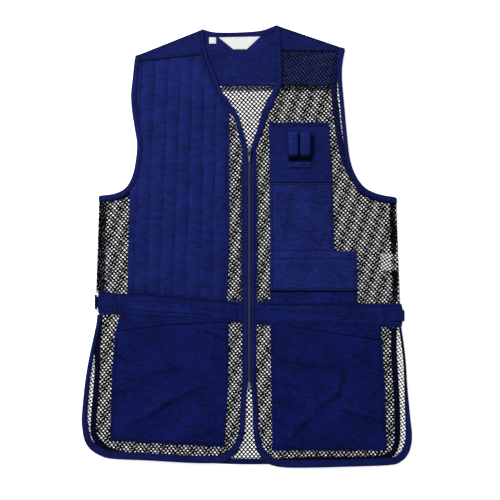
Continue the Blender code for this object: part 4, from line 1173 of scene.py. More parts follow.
dark_steel = plain("zip_slider_steel", (0.006, 0.006, 0.007), 0.7, 0.0, 500.0, 0.05)
pale_steel = plain("zip_plate", (0.15, 0.15, 0.155), 0.45, 0.5, 500.0)
olive_teeth = plain("zip_teeth_olive", (0.095, 0.105, 0.090), 0.6, 0.0, 900.0, 0.1)
dark_teeth = plain("zip_teeth_dark", (0.018, 0.020, 0.024), 0.6, 0.0, 900.0, 0.1)


# ---------------------------------------------------------------- the pieces

side_folds = (Fold(SIDE_RIGHT, SEAM_IN_RIGHT), Fold(SIDE_LEFT, -SEAM_IN_LEFT))
shoulders = (Fold(SHOULDER_RIGHT), Fold(SHOULDER_LEFT))
arm_r = armhole_binding(
    "right", ARMHOLE_RIGHT, BACK_ARMHOLE_RIGHT, shoulders[0], side_folds[0], 1
)
arm_l = armhole_binding(
    "left", ARMHOLE_LEFT, BACK_ARMHOLE_LEFT, shoulders[1], side_folds[1], -1
)
neck_r = neck_binding("right", NECK_RIGHT, shoulders[0], -1)
neck_l = neck_binding("left", NECK_LEFT, shoulders[1], 1)
hem_r = hem_binding("right", HEM_RIGHT, 1)
hem_l = hem_binding("left", HEM_LEFT, -1)


def wrapped_side(front_in, fold, turn, low):
    """The opened edge of the back net in front of a side fold, from the fold's top to low."""
    top = beside(front_in, turn * 2 * SEAM)
    top = cut(top, 0, fold.seam_x(top[-1][1]), turn < 0)
    top[-1] = fold.foot(top[-1])
    down = [(fold.seam_x(y), y) for y in np.linspace(top[0][1], low, 30)[1:]]
    foot = fold.foot(np.array((down[-1][0], low)))
    return np.array([fold.unfold(np.array(p)) for p in [*top[::-1], *down, foot]])


# Nets. Columns: piece, pitch across and along, turn in degrees, offset, reach past the edge
NETS = (
    ("back_mesh_upper", (7.3, 3.92), 5.0, (1.1, 0.7), 2.2),
    ("back_mesh_lower", (7.2, 4.1), 1.0, (2.0, 1.9), 2.2),
    ("front_mesh_upper_right", (7.3, 3.2), -12.5, (0.4, 2.2), 2.2),
    ("front_mesh_upper_left", (7.3, 3.2), -12.0, (2.6, 0.3), 4.8),
    ("front_mesh_lower_right", (7.2, 3.35), -16.0, (1.8, 0.4), 2.2),
    ("front_mesh_lower_left", (7.2, 3.35), -15.0, (0.2, 1.4), 3.4),
)

# Doubled net: pitch, turn and offset, open share, reach, flatness behind and in front
SEAM_NET = ((3.6, 2.1), 8.0, (0.3, 0.8))
SEAM_HOLE = 0.18
SEAM_REACH = 0.5
FLAT_BEHIND = 0.28
FLAT_BEFORE = 0.4


def opened_back():
    """The outline of the upper back net with its sides opened out."""
    right, left = side_folds
    inner_r = cut(beside(arm_r.behind, 2 * SEAM), 1, YOKE_BACK_Y - SEAM, False)
    inner_l = cut(beside(arm_l.behind, -2 * SEAM), 1, YOKE_BACK_Y - SEAM, False)
    inner_r[-1], inner_l[-1] = right.foot(inner_r[-1]), left.foot(inner_l[-1])
    over_r = wrapped_side(arm_r.inner, right, 1, SEAM_LOW_RIGHT)
    over_l = wrapped_side(arm_l.inner, left, -1, SEAM_LOW_LEFT)
    low = edge_between(WAIST_TOP_BACK, right.foot(over_r[-1])[0], BACK_END_X, 60)[1:-1]
    return turned_out(np.vstack([inner_r, over_r, low, over_l[::-1], inner_l[::-1]]))


def build_nets():
    """The six net panels."""
    made = {}
    spaces = {"back_mesh_upper": folded(side_folds), "back_mesh_lower": flat_back}
    for node, pitch, turn, offset, grow in NETS:
        outline = opened_back() if node == "back_mesh_upper" else outline_of(node)
        hole = BACK_HOLE if node in spaces else FRONT_HOLE
        space = spaces.get(node, flat_front)
        obj = net_mesh(node + "_net", outline, space, pitch, turn, offset, yarn, hole, grow)
        made[node] = (place(obj, "mesh", node), outline, hole)
    return made


nets = build_nets()


def on_back(points, heights):
    return flat_back(points, MESH + FLAT_BEHIND * heights)


def on_front(points, heights):
    return flat_front(points, YARN + FLAT_BEFORE * heights)


def build_seam_nets():
    """Close double net along the seams and edges, where the net is turned in."""
    made = {}
    for name, side, rows in SEAM_NETS:
        space = on_back if side == "back" else on_front
        outline = np.array(rows, float)
        obj = net_mesh(f"seam_net_{name}", outline, space, *SEAM_NET, seam_yarn,
                       SEAM_HOLE, SEAM_REACH)
        made[name] = place(obj, "mesh")
    return made


seam_nets = build_seam_nets()


def back_neck_path():
    path = smooth(BACK_NECK)
    path = cut(path, 0, BACK_NECK[0][0] + NECK_END, True)
    return cut(path, 0, BACK_NECK[-1][0] - NECK_END, False)


def square_ended(path, gap):
    """A path beside another, whose ends keep their x."""
    moved = beside(path, gap)
    moved[0][0], moved[-1][0] = path[0][0], path[-1][0]
    return moved


def opened_yoke():
    """The outline of the yoke, opened out over both shoulders."""
    right, left = shoulders
    seam_r = level_at(YOKE_SEAM_RIGHT, YOKE_SLEEVE_RIGHT_X) + SEAM
    seam_l = level_at(YOKE_SEAM_LEFT, YOKE_SLEEVE_LEFT_X) + SEAM
    sleeve_r = cut(beside(arm_r.inner, SEAM), 1, seam_r, True)
    sleeve_l = cut(beside(arm_l.inner, -SEAM), 1, seam_l, True)
    collar_seam = level_at(YOKE_SEAM_RIGHT, YOKE_COLLAR_X) + SEAM
    collar_r = cut(beside(neck_r.inner, -SEAM), 1, collar_seam, True)
    collar_l = cut(beside(neck_l.inner, SEAM), 1, seam_l, True)
    under_r = cut(beside(arm_r.behind, SEAM), 1, YOKE_BACK_Y + SEAM, True)
    under_l = cut(beside(arm_l.behind, -SEAM), 1, YOKE_BACK_Y + SEAM, True)
    for fold, paths in (
        (right, (sleeve_r, collar_r, under_r)), (left, (sleeve_l, collar_l, under_l)),
    ):
        for path in paths:
            path[0] = fold.foot(path[0])
    hem_r = edge_between(YOKE_SEAM_RIGHT, sleeve_r[-1][0], collar_r[-1][0])
    hem_l = edge_between(YOKE_SEAM_LEFT, collar_l[-1][0], sleeve_l[-1][0])
    over_r = np.vstack([sleeve_r, hem_r[1:-1] + (0, SEAM), collar_r[::-1]])
    over_l = np.vstack([collar_l, hem_l[1:-1] + (0, SEAM), sleeve_l[::-1]])
    over_r = np.array([right.unfold(p) for p in over_r])
    over_l = np.array([left.unfold(p) for p in over_l])
    neck = square_ended(back_neck_path(), -(NECK_BAND + SEAM))
    return turned_out(np.vstack(
        [under_r[::-1], over_r, collar_r[:1], neck, collar_l[:1], over_l, under_l]
    ))


YOKE_PITCH = 4.5


def build_yoke():
    """The yoke across the back, over both shoulders to the seams of the fronts."""
    outline = opened_yoke()
    inner = lattice(outline, YOKE_PITCH, 0.4 * YOKE_PITCH)
    past = np.array([max(f.beyond(p) for f in shoulders) for p in inner])
    inner = inner[(past < -1.5) | (past > FOLD_LENGTH + 1.5)]
    lines = [line for fold in shoulders for line in fold.lines()]
    flat, faces = fill(outline, inner, lines)
    places, angles, outs = carried(flat, shoulders)
    inside, outside = stand_many(places, angles, outs, CLOTH)
    edge = distance(flat, outline)
    bumps = 0.16 * rough(flat, 17, 5.5) + 0.12 * rough(flat, 40, 8.5, 2)
    bumps -= 0.5 * (1 - ease(edge, 0, 1.0))
    front, back = angles < 1.0, angles > 2.5
    outside[front, 2] += bumps[front]
    inside[back, 2] += bumps[back]
    # Painted shade along the yoke's edges, stronger on the fronts
    rim = 1 - ease(edge, 0, 2.0)
    painted_shade = np.concatenate([0.6 * rim * back, 0.95 * rim * front])
    points, solid = np.vstack([inside, outside]), shell_faces(faces, len(flat))
    obj = add_mesh("yoke_cloth", points, solid, yoke_cloth, 50, painted_shade)
    # Painted light: a lighter copy of the yoke cloth where the net lies over it
    paint_light_under_net(obj, yoke_painted_light, YOKE_SEAM_LEFT[0][1], 60.0)
    return place(obj, "cloth", "yoke"), outline


yoke = build_yoke()


def build_bands():
    """The back neck band, the plackets and the zip tapes, and the back hem binding, which
    is returned."""
    band = smooth(BACK_NECK)
    band[0, 0] -= NECK_END
    band[-1, 0] += NECK_END
    hem = smooth(HEM_BACK)
    inner = beside(hem, BACK_HEM_BAND)
    inner[0][1], inner[-1][1] = hem[0][1], hem[-1][1]
    made = []
    for name, node, edge, inner, seed in (
        ("back_neck_tape", "back_neck_band", band, square_ended(band, -NECK_BAND), 21),
        ("back_hem_tape", "back_hem_binding", hem, inner, 25),
    ):
        stations = band_stations(edge, inner, math.pi, BACK_BINDING, BACK_BINDING)
        made.append(place(swept(name, stations, tape, seed=seed), "binding", node))
    for side, way in (("right", -1), ("left", 1)):
        edge = ZIP_X + way * ZIP_GAP / 2
        for node, slot, xs, ends, levels, material, seed in (
            (f"placket_{side}", "binding", (ZIP_X + way * ZIP_SHOWS / 2, edge + way * PLACKET),
             (ZIP_TOP + 1.0, ZIP_LOW - 1.0), (BINDING, BINDING), tape, 31),
            (f"zip_tape_{side}", "zip", (ZIP_X + way * ZIP_TAPE_IN, edge + way * ZIP_TAPE_OUT),
             (ZIP_TOP - 2, ZIP_LOW + 7), (ZIP_TAPE, ZIP_TAPE, TAPE_LEVEL - FRONT), zip_tape, 35),
        ):
            ys = np.linspace(*ends, ZIP_STEPS)
            paths = (np.column_stack([np.full(len(ys), x), ys]) for x in xs)
            stations = band_stations(*paths, 0.0, *levels)
            name = node + ("_tape" if slot == "binding" else "_cloth")
            place(swept(name, stations, material, seed=way + seed), slot, node)
    return made[-1]


back_hem = build_bands()


def quilt_lines():
    """The stitch lines of the pad, long enough to cross it."""
    lines = []
    for top, low in QUILT_LINES:
        slope = (low - top) / (QUILT_TOP_Y - QUILT_LOW_Y)
        ys = np.arange(*QUILT_LEVELS)
        slow, quick = np.sin(ys * 0.045 + top), np.sin(ys * 0.11 + 2 * top)
        wobble = QUILT_WOBBLE[0] * slow + QUILT_WOBBLE[1] * quick
        lines.append(np.column_stack([top + (QUILT_TOP_Y - ys) * slope + wobble, ys]))
    return lines


def quilt_rise(points, lines):
    """The padding's crown between its stitch lines, from 0 to 1, with puckers, and how far
    each point is from the nearest line."""
    xs = np.array([np.interp(-points[:, 1], -line[:, 1], line[:, 0]) for line in lines])
    k = np.clip((xs < points[:, 0]).sum(axis=0) - 1, 0, len(lines) - 2)
    cols = np.arange(len(points))
    left, right = xs[k, cols], xs[k + 1, cols]
    across = np.clip((points[:, 0] - left) / (right - left), 0, 1)
    inside = (points[:, 0] > xs[0]) & (points[:, 0] < xs[-1])
    crown = np.sin(math.pi * across) ** 0.62
    near = np.minimum(points[:, 0] - left, right - points[:, 0])
    waves = 1 + np.sin(points[:, 1] * 0.62 + k * 2.1)
    pucker = 1 - QUILT_PUCKER * np.exp(-((near / 6) ** 2)) * waves
    return np.where(inside, crown * pucker, 0.0), np.where(inside, near, 9.0)


def build_quilt():
    """The pad: crowned channels between sewn lines, with puckers and a border stitch."""
    outline = resample(outline_of("quilt_pad"), QUILT_PITCH)
    lines = quilt_lines()
    sewn = kept_lines(lines, outline, 1.5)
    fine = kept_lines(groove_lines(lines, 1.6), outline, 1.5)
    border = beside(outline, QUILT_BORDER, True)
    inner = lattice(outline, QUILT_PITCH, QUILT_PITCH / 2)
    inner = inner[near_lines(inner, fine) > 0.9]
    flat, faces = fill(outline, inner, fine)
    edge = distance(flat, outline)
    rise, near = quilt_rise(flat, lines)
    soft = ease(edge, 0.0, QUILT_EDGE)
    level = 0.85 + 0.25 * rough(flat, 48, 6.2, 2)
    pucker = rough(flat * (0.3, 1.0), 6.5, 4.4, 2)
    swells = 0.16 * rough(flat, 12, 2.2) + 0.30 * pucker
    high = QUILT_BASE + QUILT_RISE * rise * soft * level + swells * soft
    high -= 0.8 * (1 - ease(edge, 0.0, 1.2))
    border_gap = distance(flat, resample(border, 6.0))
    groove = np.exp(-((near / 0.9) ** 2)) * (edge > 2)
    stitched = np.exp(-((border_gap / 1.0) ** 2))
    high -= 0.3 * stitched
    base = FRONT + ON_MESH + drape(flat)
    lower = np.column_stack([flat, base])
    upper = np.column_stack([flat, base + high])
    # Painted shade: unevenly in the sewn grooves, along the border stitch, in the pucker hollows
    # and at the rim, where it is strongest along the top edge
    uneven = np.clip(0.42 + 0.9 * rough(flat * (0.6, 1.0), 60, 11.3, 2), 0.1, 0.9)
    rim_shade = np.where(flat[:, 1] > 315, 0.95, 0.5)
    painted_shade = uneven * groove + 0.4 * stitched + rim_shade * (1 - ease(edge, 0, 1.5))
    painted_shade = np.clip(painted_shade + 0.5 * np.clip(-pucker, 0, 1), 0, 1)
    obj = wall_mesh("quilt_pad_cloth", faces, lower, upper, quilt_cloth, painted_shade, 60)
    place(obj, "cloth", "quilt_pad")
    return [*sewn, np.vstack([border, border[:1]])]


quilt_sewn = build_quilt()


def side_line(x0, y0, x1, y1, step=4.0):
    """A straight line with a point about every step."""
    return straight([(x0, y0), (x1, y1)], step)


def build_cloth():
    """The waistbands, pockets, patch, flap and labels."""
    made = {}
    mouth_r, mouth_l = straight(MOUTH_RIGHT), straight(MOUTH_LEFT)
    chest_top = side_line(41, 110, 148, 110)
    flap_low = side_line(40.5, -76, 192, -76)
    patch_top = side_line(38.5, 216, 142, 216)
    rows = (
        ("chest_patch", ON_MESH, CLOTH, patch_cloth, [patch_top - (0, 6), patch_top - (0, 3)],
         [(patch_top, 7, 0.25)]),
        ("chest_pocket", ON_PATCH, CLOTH, chest_cloth,
         [chest_top - (0, 2.4), side_line(44, 110, 44.5, -7), side_line(144.5, 110, 149, -7)],
         [(chest_top, 3.2, 0.4)]),
        ("flap_pocket_body", ON_MESH, CLOTH, flap_cloth,
         [side_line(188.5, -8, 188.5, -97)], []),
        ("pocket_flap", ON_PATCH, CLOTH, chest_cloth,
         [side_line(40, -21.5, 192, -21.5), side_line(188.2, -9, 188.6, -76),
          flap_low + (0, 3.0), side_line(44, -9, 44, -76)],
         [(side_line(40.5, -8.5, 191.5, -8.5), 12.5, 0.35), (flap_low, 5, 0.3)]),
        ("pocket_back_right", ON_MESH, CLOTH, pocket_cloth, [], []),
        ("pocket_front_right", ON_PATCH, CLOTH, pocket_cloth,
         [side_line(-227, -155, -236, -339), side_line(-35, -133, -36.5, -250),
          side_line(-236, -335.5, -42, -346)], [(mouth_r, 9.5, 0.3)]),
        ("pocket_back_left", ON_MESH, CLOTH, pocket_cloth, [], []),
        ("pocket_front_left", ON_PATCH, CLOTH, pocket_cloth,
         [side_line(46, -140, 48, -352), side_line(231, -170, 240, -352),
          side_line(46, -352, 240, -351.5)], [(mouth_l, 9.5, 0.3)]),
        ("waistband_right", 0.0, BAND, band_cloth,
         [edge_between(WAIST_TOP_RIGHT, -256, -10) - (0, 3),
          edge_between(WAIST_LOW_RIGHT, -256, -10) + (0, 3),
          side_line(-17, -99, -17, -131)], []),
        ("waistband_left", 0.0, BAND, band_cloth,
         [edge_between(WAIST_TOP_LEFT, 17, 264) - (0, 3),
          edge_between(WAIST_LOW_LEFT, 17, 264) + (0, 3)], []),
    )
    shades = {
        "pocket_back_right": [(mouth_r + (0, 1.0), 1.3)],
        "pocket_back_left": [(mouth_l + (0, 1.0), 1.3)],
        "flap_pocket_body": [(flap_low - (0, 1.4), 2.1)],
        "chest_patch": [(chest_top + (0, 1.0), 1.3)],
    }
    grown = {
        "waistband_right": 1.3, "waistband_left": 1.8, "chest_patch": 0.7, "chest_pocket": 0.5,
        "pocket_front_left": 0.6, "flap_pocket_body": 0.7, "pocket_flap": 0.5,
    }
    bulges = {"waistband_right": (-1, -98.0, 13.0, 2.6), "waistband_left": (1, -120.0, 13.0, 3.8)}
    for seed, (node, rise, thick, material, grooves, hems) in enumerate(rows):
        obj, outline = cloth_shell(
            node, rise, thick, material, grooves=grooves, hems=hems, seed=3.0 + seed,
            grow=grown.get(node, 0.0), shades=shades.get(node, ()),
            tuck=2.6 if node == "flap_pocket_body" else 0.0, bulge=bulges.get(node),
        )
        made[node] = (place(obj, "cloth", node), outline, grooves)
    obj, outline = cloth_shell(
        "back_waistband", 0, CLOTH, band_cloth, 6.0, back=True, seed=40.0,
        grooves=[edge_between(WAIST_TOP_BACK, -250, 255) - (0, 3)],
    )
    made["back_waistband"] = (place(obj, "cloth", "back_waistband"), outline, [])
    for node, thick, material in (
        ("neck_label", 0.8, label_cloth), ("size_label", 0.8, label_cloth),
        ("care_label", 0.6, care_cloth),
    ):
        obj, outline = cloth_shell(
            node, 0, thick, material, 2.4, back=True, low=1.5, seed=50.0, swell=0.3
        )
        made[node] = (place(obj, "label", node), outline, [])
    return made


cloths = build_cloth()


def tube_ring(middle, y, width, height, low, ribs):
    """One ring of a tube: a squarish oval with ribs, from its level low."""
    turn = 2 * np.pi * np.arange(TUBE_POINTS) / TUBE_POINTS
    across, up = (np.sign(v) * np.abs(v) ** 0.7 for v in (np.cos(turn), np.sin(turn)))
    swell = ribs * np.cos(turn * TUBE_RIBS)
    return np.column_stack([
        middle + across * (width / 2 + swell), np.full(TUBE_POINTS, y),
        low + (1 + up) * (height / 2) + up * swell,
    ])


def build_tubes():
    """Ribbed elastic loops, open at the top, gathered into their base at the low end."""
    turn = 2 * np.pi * np.arange(TUBE_POINTS) * TUBE_RIBS / TUBE_POINTS
    # Painted shade in the hollows between the ribs
    between = 0.5 * (np.cos(turn) < -0.3)
    for number, middle in enumerate(TUBE_X, 1):
        wave = segment_sum(WAVES, np.array([(middle, TUBE_ROWS[2][0])], float))[0]
        base = FRONT + ON_PATCH + float(wave) + TUBE_LIFT
        rings = [
            tube_ring(middle, y, w - 2 * TUBE_INSET, h - 2 * TUBE_INSET, base + TUBE_INSET,
                      TUBE_RIB if y > TUBE_GATHER_Y else TUBE_GATHER)
            for y, w, h in TUBE_ROWS[::-1]
        ]
        y, w, h = TUBE_ROWS[0]
        lip = w - 2 * TUBE_LIP, h - 2 * TUBE_LIP, base + TUBE_LIP
        rings.append(tube_ring(middle, y + 0.5, *lip, 0.15))
        rings += [
            tube_ring(middle, y, w - 2 * TUBE_WALL, h - 2 * TUBE_WALL, base + TUBE_WALL, 0.1)
            for y, w, h in TUBE_ROWS[:-3]
        ]
        last = (len(rings) - 1) * TUBE_POINTS
        faces = [tuple(range(TUBE_POINTS)), tuple(range(last, last + TUBE_POINTS))[::-1]]
        for i in range(0, last, TUBE_POINTS):
            faces += ring_faces(i, i + TUBE_POINTS, TUBE_POINTS)
        points = np.vstack(rings)
        # Painted shade on the gathered low end, along the sides and between the ribs
        painted_shade = np.repeat([1.0 if r[0, 1] < TUBE_SHADE_Y else 0.0 for r in rings], TUBE_POINTS)
        painted_shade = np.maximum(painted_shade, np.abs(points[:, 0] - middle) > TUBE_SHADE_X)
        painted_shade = np.maximum(painted_shade, np.tile(between, len(rings)))
        obj = add_mesh(f"shell_loop_{number}_elastic", points, faces, elastic, 70, painted_shade)
        place(obj, "elastic", f"shell_loop_{number}")
    obj, _ = cloth_shell(
        "loop_base", ON_PATCH, BINDING, elastic, 1.6, swell=0.5, seed=77.0,
        grooves=[side_line(72, y, 111, y, 2) for y in (142, 139.5)],
        shades=[(side_line(71, y, 112, y, 2), reach) for y, reach in ((149, 1.8), (137.4, 0.5))],
    )
    place(obj, "elastic", "loop_base")


build_tubes()


def build_straps():
    """The waist straps, round the side edges from the front to the back."""
    bend = (FRONT + ON_BAND + STRAP) / 2
    for side, row, edge_x in (
        ("right", STRAP_RIGHT, STRAP_EDGE_RIGHT), ("left", STRAP_LEFT, STRAP_EDGE_LEFT),
    ):
        high_y, low_y, front_end, back_end = row
        way = 1 if edge_x > 0 else -1
        foot = edge_x - way * bend
        spots = [(x, 0.0) for x in np.linspace(front_end, foot, 10)]
        spots += [(foot, math.pi * k / 16) for k in range(1, 16)]
        spots += [(x, math.pi) for x in np.linspace(foot, back_end, 8)]
        xs, angles = np.array(spots).T
        edges = (np.column_stack([xs, np.full(len(xs), y)]) for y in (high_y, low_y))
        out = (float(way), 0.0)
        stations = band_stations(*edges, angles, STRAP, STRAP, ON_BAND, out)
        obj = swept(f"waist_strap_{side}_tape", stations, tape, profile=STRAP_PROFILE,
                    seed=way + 60)
        place(obj, "binding", f"waist_strap_{side}")


def build_keeper():
    """The black keeper round the right edge, from the floor to its lap on the strap."""
    top = FRONT + ON_BAND + STRAP + 2 * SEAM
    high_y, low_y = STRAP_RIGHT[:2]
    route = [(-1.0, 0.2), (-1.0, 2.0), (-1.0, 4.0), (-1.0, top - 0.4), (-0.6, top + 0.4)]
    route += [(x, top + 0.75) for x in (0.2, 1.0, 1.8, 2.6)]
    route = np.array(route) + (STRAP_EDGE_RIGHT - SEAM, 0)
    stations = [
        tuple(
            np.array((x + nx * k, (high_y + low_y) / 2 + y, max(z + nz * k, 0.0)))
            for y in (KEEPER / 2, -KEEPER / 2) for k in (-KEEPER_WALL / 2, KEEPER_WALL / 2)
        )
        for (x, z), (nx, nz) in zip(route, left_of(route))
    ]
    obj = swept("strap_keeper_right_tape", stations, black_tape, profile=STRAP_PROFILE, seed=70)
    place(obj, "webbing", "strap_keeper_right")


build_straps()
build_keeper()


# Teeth. Columns of the section: share of the half length along the tape, height
TOOTH_PITCH = 2.5
TOOTH = ((-1, 0.15), (-1, 2.0), (-0.6, 2.45), (0.6, 2.45), (1, 2.0), (1, 0.15))


def build_zip():
    """Moulded teeth on both tapes, meshed, in place of the plain chain."""
    for side, way, material, nodes in (
        ("right", -1, olive_teeth, ["zip_chain"]), ("left", 1, dark_teeth, []),
    ):
        points, faces = [], []
        shift = 0 if way < 0 else TOOTH_PITCH / 2
        ys = np.arange(ZIP_TOP - 3 - shift, ZIP_LOW + 7.5, -TOOTH_PITCH)
        lifts = drape(np.column_stack([np.full(len(ys), ZIP_X), ys]))
        for y, lift in zip(ys, lifts):
            first = len(points)
            for x, half in ((1.36, 0.55), (0.4, 0.55), (-0.5, 0.95)):
                points += [(ZIP_X + way * x, y + half * dy, TAPE_LEVEL + lift + dz)
                           for dy, dz in TOOTH]
            faces += ring_faces(first, first + 6, 6) + ring_faces(first + 6, first + 12, 6)
            faces += [tuple(range(first, first + 6)), tuple(range(first + 12, first + 18))[::-1]]
        obj = add_mesh(f"zip_teeth_{side}", points, faces, material, 35)
        place(obj, "zip", *nodes)
    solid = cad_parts["zip_box"]
    solid.data.materials.clear()
    solid.data.materials.append(pale_steel)


def plates(name, rows, material):
    """Flat plates with a small bevel, as one mesh. rows are (outline, slot or None, low,
    high), in millimetres."""
    points, faces = [], []
    for outline, slot, low, high in rows:
        outline = resample(np.array(outline, float), 1.0)
        loops = [beside(outline, 0.35, True)] + ([] if slot is None else [np.array(slot)])
        flat, tris = fill(outline, (), [np.vstack([loop, loop[:1]]) for loop in loops])
        if slot is not None:
            middles = np.array([flat[list(t)].mean(axis=0) for t in tris])
            tris = [t for t, gone in zip(tris, within(middles, loops[1])) if not gone]
        drop = 0.3 * (1 - ease(distance(flat, outline), 0.0, 0.3))
        first, count = len(points), len(flat)
        points += [(x, y, low + d) for (x, y), d in zip(flat, drop)]
        points += [(x, y, high - d) for (x, y), d in zip(flat, drop)]
        faces += [tuple(v + first for v in f) for f in shell_faces(tris, count)]
    return add_mesh(name, points, faces, material, 35)


def mirrored(shape, y):
    """A closed outline from its right half beside the zip's middle, moved by y."""
    halves = (shape, [(-x, dy) for x, dy in shape[::-1]])
    return [(ZIP_X + x, y + dy) for half in halves for x, dy in half]


# The slider's parts, as right halves. Columns: x from the zip's middle, y from the top
SLIDER_TOP = SLIDER_Y + 7.5
SLIDER_BODY = ((2.4, -15), (3.3, -6), (3.6, -2.4), (2.9, -0.5), (1.6, 0))
PULL_TAB = ((1.0, -20), (1.4, -18.5), (1.6, -13), (2.1, -10.8), (2.3, -9.5), (2.3, -0.6))
PULL_SLOT = ((1.2, -9.6), (1.6, -8.8), (1.6, -2.8), (1.2, -2.0))
EAR = ((-0.6, -4.5), (0.6, -4.5), (0.6, -0.5), (-0.6, -0.5))
EAR_X = 3.2
SLIDER_HEIGHT = 2.4
PULL = 1.2
PIN = 1.3
PIN_LENGTH = 4.6
PIN_SIDES = 16


def build_slider():
    """The slider's body and ears, and the slotted pull on its pin."""
    low, high = (np.array(corner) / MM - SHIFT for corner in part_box("zip_slider"))
    lid = low[2] + SLIDER_HEIGHT
    rows = [(mirrored(SLIDER_BODY, SLIDER_TOP), None, low[2], lid)]
    for x in (ZIP_X - EAR_X, ZIP_X + EAR_X):
        ear = [(x + dx, SLIDER_TOP + dy) for dx, dy in EAR]
        rows.append((ear, None, lid - 0.5, high[2]))
    place(plates("zip_slider_body", rows, dark_steel), "metal", "zip_slider")

    low, high = (np.array(corner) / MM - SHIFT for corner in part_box("zip_pull"))
    y, z = high[1] - PIN, (low[2] + high[2]) / 2
    rows = [(mirrored(PULL_TAB, y), mirrored(PULL_SLOT, y), z - PULL / 2, z + PULL / 2)]
    place(plates("zip_pull_tab", rows, steel), "metal", "zip_pull", body="zip_pull")
    turns = 2 * np.pi * np.arange(PIN_SIDES) / PIN_SIDES
    ring = np.column_stack([np.cos(turns), np.sin(turns)]) * PIN + (y, z)
    points = [(ZIP_X + x, *spot) for x in (-PIN_LENGTH / 2, PIN_LENGTH / 2) for spot in ring]
    faces = ring_faces(0, PIN_SIDES, PIN_SIDES)
    faces += [tuple(range(PIN_SIDES))[::-1], tuple(range(PIN_SIDES, 2 * PIN_SIDES))]
    place(add_mesh("zip_pull_pin", points, faces, steel, 35), "metal", body="zip_pull")


build_zip()
build_slider()


def build_stitches():
    """The sewing on the pad, on the cloth pieces and along the bindings."""
    quilt_top = surface_height(FRONT + ON_MESH + QUILT_BASE - 0.1)
    stitch_mesh("stitches_quilt", [(line, quilt_top) for line in quilt_sewn], "cloth")
    rows = []
    for level, *nodes in (
        (ON_MESH + CLOTH, "chest_patch", "flap_pocket_body"),
        (ON_PATCH + CLOTH, "chest_pocket", "pocket_flap", "pocket_front_right",
         "pocket_front_left"),
        (BAND, "waistband_right", "waistband_left"),
    ):
        top = surface_height(FRONT + level)
        for node in nodes:
            _, outline, grooves = cloths[node]
            rows += [(line, top) for line in kept_lines(grooves, outline, 1.5)]
    stitch_mesh("stitches_cloth", rows, "cloth")
    lines = [
        band.edge[:, :2] + (band.inner[:, :2] - band.edge[:, :2]) * STITCH_SHARE
        for band in (arm_r, arm_l, neck_r, neck_l, hem_r, hem_l)
    ]
    for way in (-1, 1):
        x = ZIP_X + way * (ZIP_GAP / 2 + PLACKET * STITCH_SHARE)
        lines.append(side_line(x, ZIP_TOP, x, ZIP_LOW))
    band_top = surface_height(FRONT + BINDING - 0.5)
    stitch_mesh("stitches_binding", [(line, band_top) for line in lines], "binding")


build_stitches()


# ---------------------------------------------------------------- laid sheets and what they lie on


def declare(obj, outline, under, share=1.0, pieces=()):
    """Works out the area of cloth of a laid sheet, which covers a share of its outline; the area
    is not kept.
    """
    area = abs(area_of(outline)) * MM * MM * share
    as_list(pieces)


# Cloth of a net over the area of its outline, before its open share is taken off
NET_SHARE = 1.28

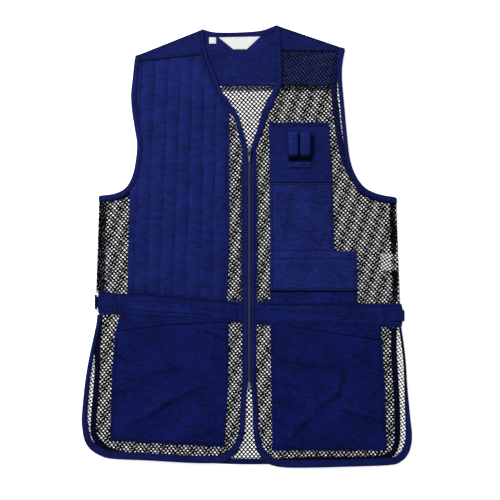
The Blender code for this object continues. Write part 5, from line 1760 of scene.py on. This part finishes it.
# What each net lies on, its binding and the doubled nets that are sewn to it
SEWN_TO = {
    "back_mesh_upper": ("floor", [arm_r.piece, arm_l.piece], ["side_right", "side_left", "yoke"]),
    "back_mesh_lower": ("floor", [back_hem], []),
    "front_mesh_upper_right": (
        "back_mesh_upper_net", [neck_r.piece], ["edge_right", "waist_right"]
    ),
    "front_mesh_upper_left": ("back_mesh_upper_net", [neck_l.piece], ["edge_left", "waist_left"]),
    "front_mesh_lower_right": ("back_mesh_lower_net", [hem_r.piece], []),
    "front_mesh_lower_left": ("back_mesh_lower_net", [hem_l.piece], []),
}
for node, (under, bindings, seams) in SEWN_TO.items():
    obj, outline, hole = nets[node]
    pieces = bindings + [seam_nets[name] for name in seams]
    declare(obj, outline, under, NET_SHARE - hole, pieces)
declare(*yoke, "floor")
LIES_ON = {
    "chest_patch": "front_mesh_upper_left_net", "chest_pocket": "chest_patch_cloth",
    "flap_pocket_body": "front_mesh_upper_left_net", "pocket_flap": "flap_pocket_body_cloth",
    "pocket_back_right": "front_mesh_lower_right_net",
    "pocket_front_right": "pocket_back_right_cloth",
    "pocket_back_left": "front_mesh_lower_left_net",
    "pocket_front_left": "pocket_back_left_cloth",
    "waistband_right": "back_waistband_cloth", "waistband_left": "back_waistband_cloth",
    "back_waistband": "floor", "neck_label": "yoke_cloth", "size_label": "yoke_cloth",
    "care_label": "back_mesh_upper_net",
}
for node, under in LIES_ON.items():
    declare(*cloths[node][:2], under)


# ---------------------------------------------------------------- stage and camera

# What the camera sees of the floor, in metres
VIEW_MIDDLE = (0.0056, -0.00652)
VIEW_WIDTH = 0.8728


def build_stage():
    """A pale floor, soft light and the camera above the vest."""
    bpy.ops.mesh.primitive_plane_add(size=8.0, location=(0, 0, -0.0006))
    floor = bpy.context.object
    floor.name = "floor"
    material, make, mixed, dress = node_kit("pale_floor")
    grains = make("TexNoise", Scale=180.0, Detail=2.0, Vector=make("TexCoord")["Object"])
    dress(
        Base_Color=mixed(grains["Fac"], (0.90, 0.90, 0.90, 1), (0.93, 0.93, 0.93, 1)),
        Roughness=0.95, Specular_IOR_Level=0.1, Emission_Color=(1, 1, 1, 1),
        Emission_Strength=0.55,
    )
    floor.data.materials.append(material)

    scene = bpy.context.scene
    scene.world = bpy.data.worlds.new("studio")
    scene.world.use_nodes = True
    background = scene.world.node_tree.nodes["Background"]
    background.inputs["Color"].default_value = (0.95, 0.97, 1.0, 1)
    background.inputs["Strength"].default_value = 0.45
    for name, where, size, power in (
        ("key", (-1.0, 1.2, 1.3), 0.7, 60), ("fill", (1.2, -0.6, 1.6), 1.4, 4),
    ):
        lamp = bpy.data.lights.new(name, "AREA")
        lamp.size = size
        lamp.energy = power
        obj = bpy.data.objects.new(name, lamp)
        scene.collection.objects.link(obj)
        obj.location = where
        obj.rotation_mode = "QUATERNION"
        obj.rotation_quaternion = Vector(where).to_track_quat("Z", "Y")

    lens = bpy.data.cameras.new("camera")
    lens.lens = 85.0
    lens.sensor_width = 36.0
    camera = bpy.data.objects.new("camera", lens)
    scene.collection.objects.link(camera)
    camera.location = (*VIEW_MIDDLE, VIEW_WIDTH * lens.lens / lens.sensor_width + 0.004)
    camera.rotation_euler = (0, 0, 0)
    scene.camera = camera
    scene.view_settings.view_transform = "Standard"


build_stage()
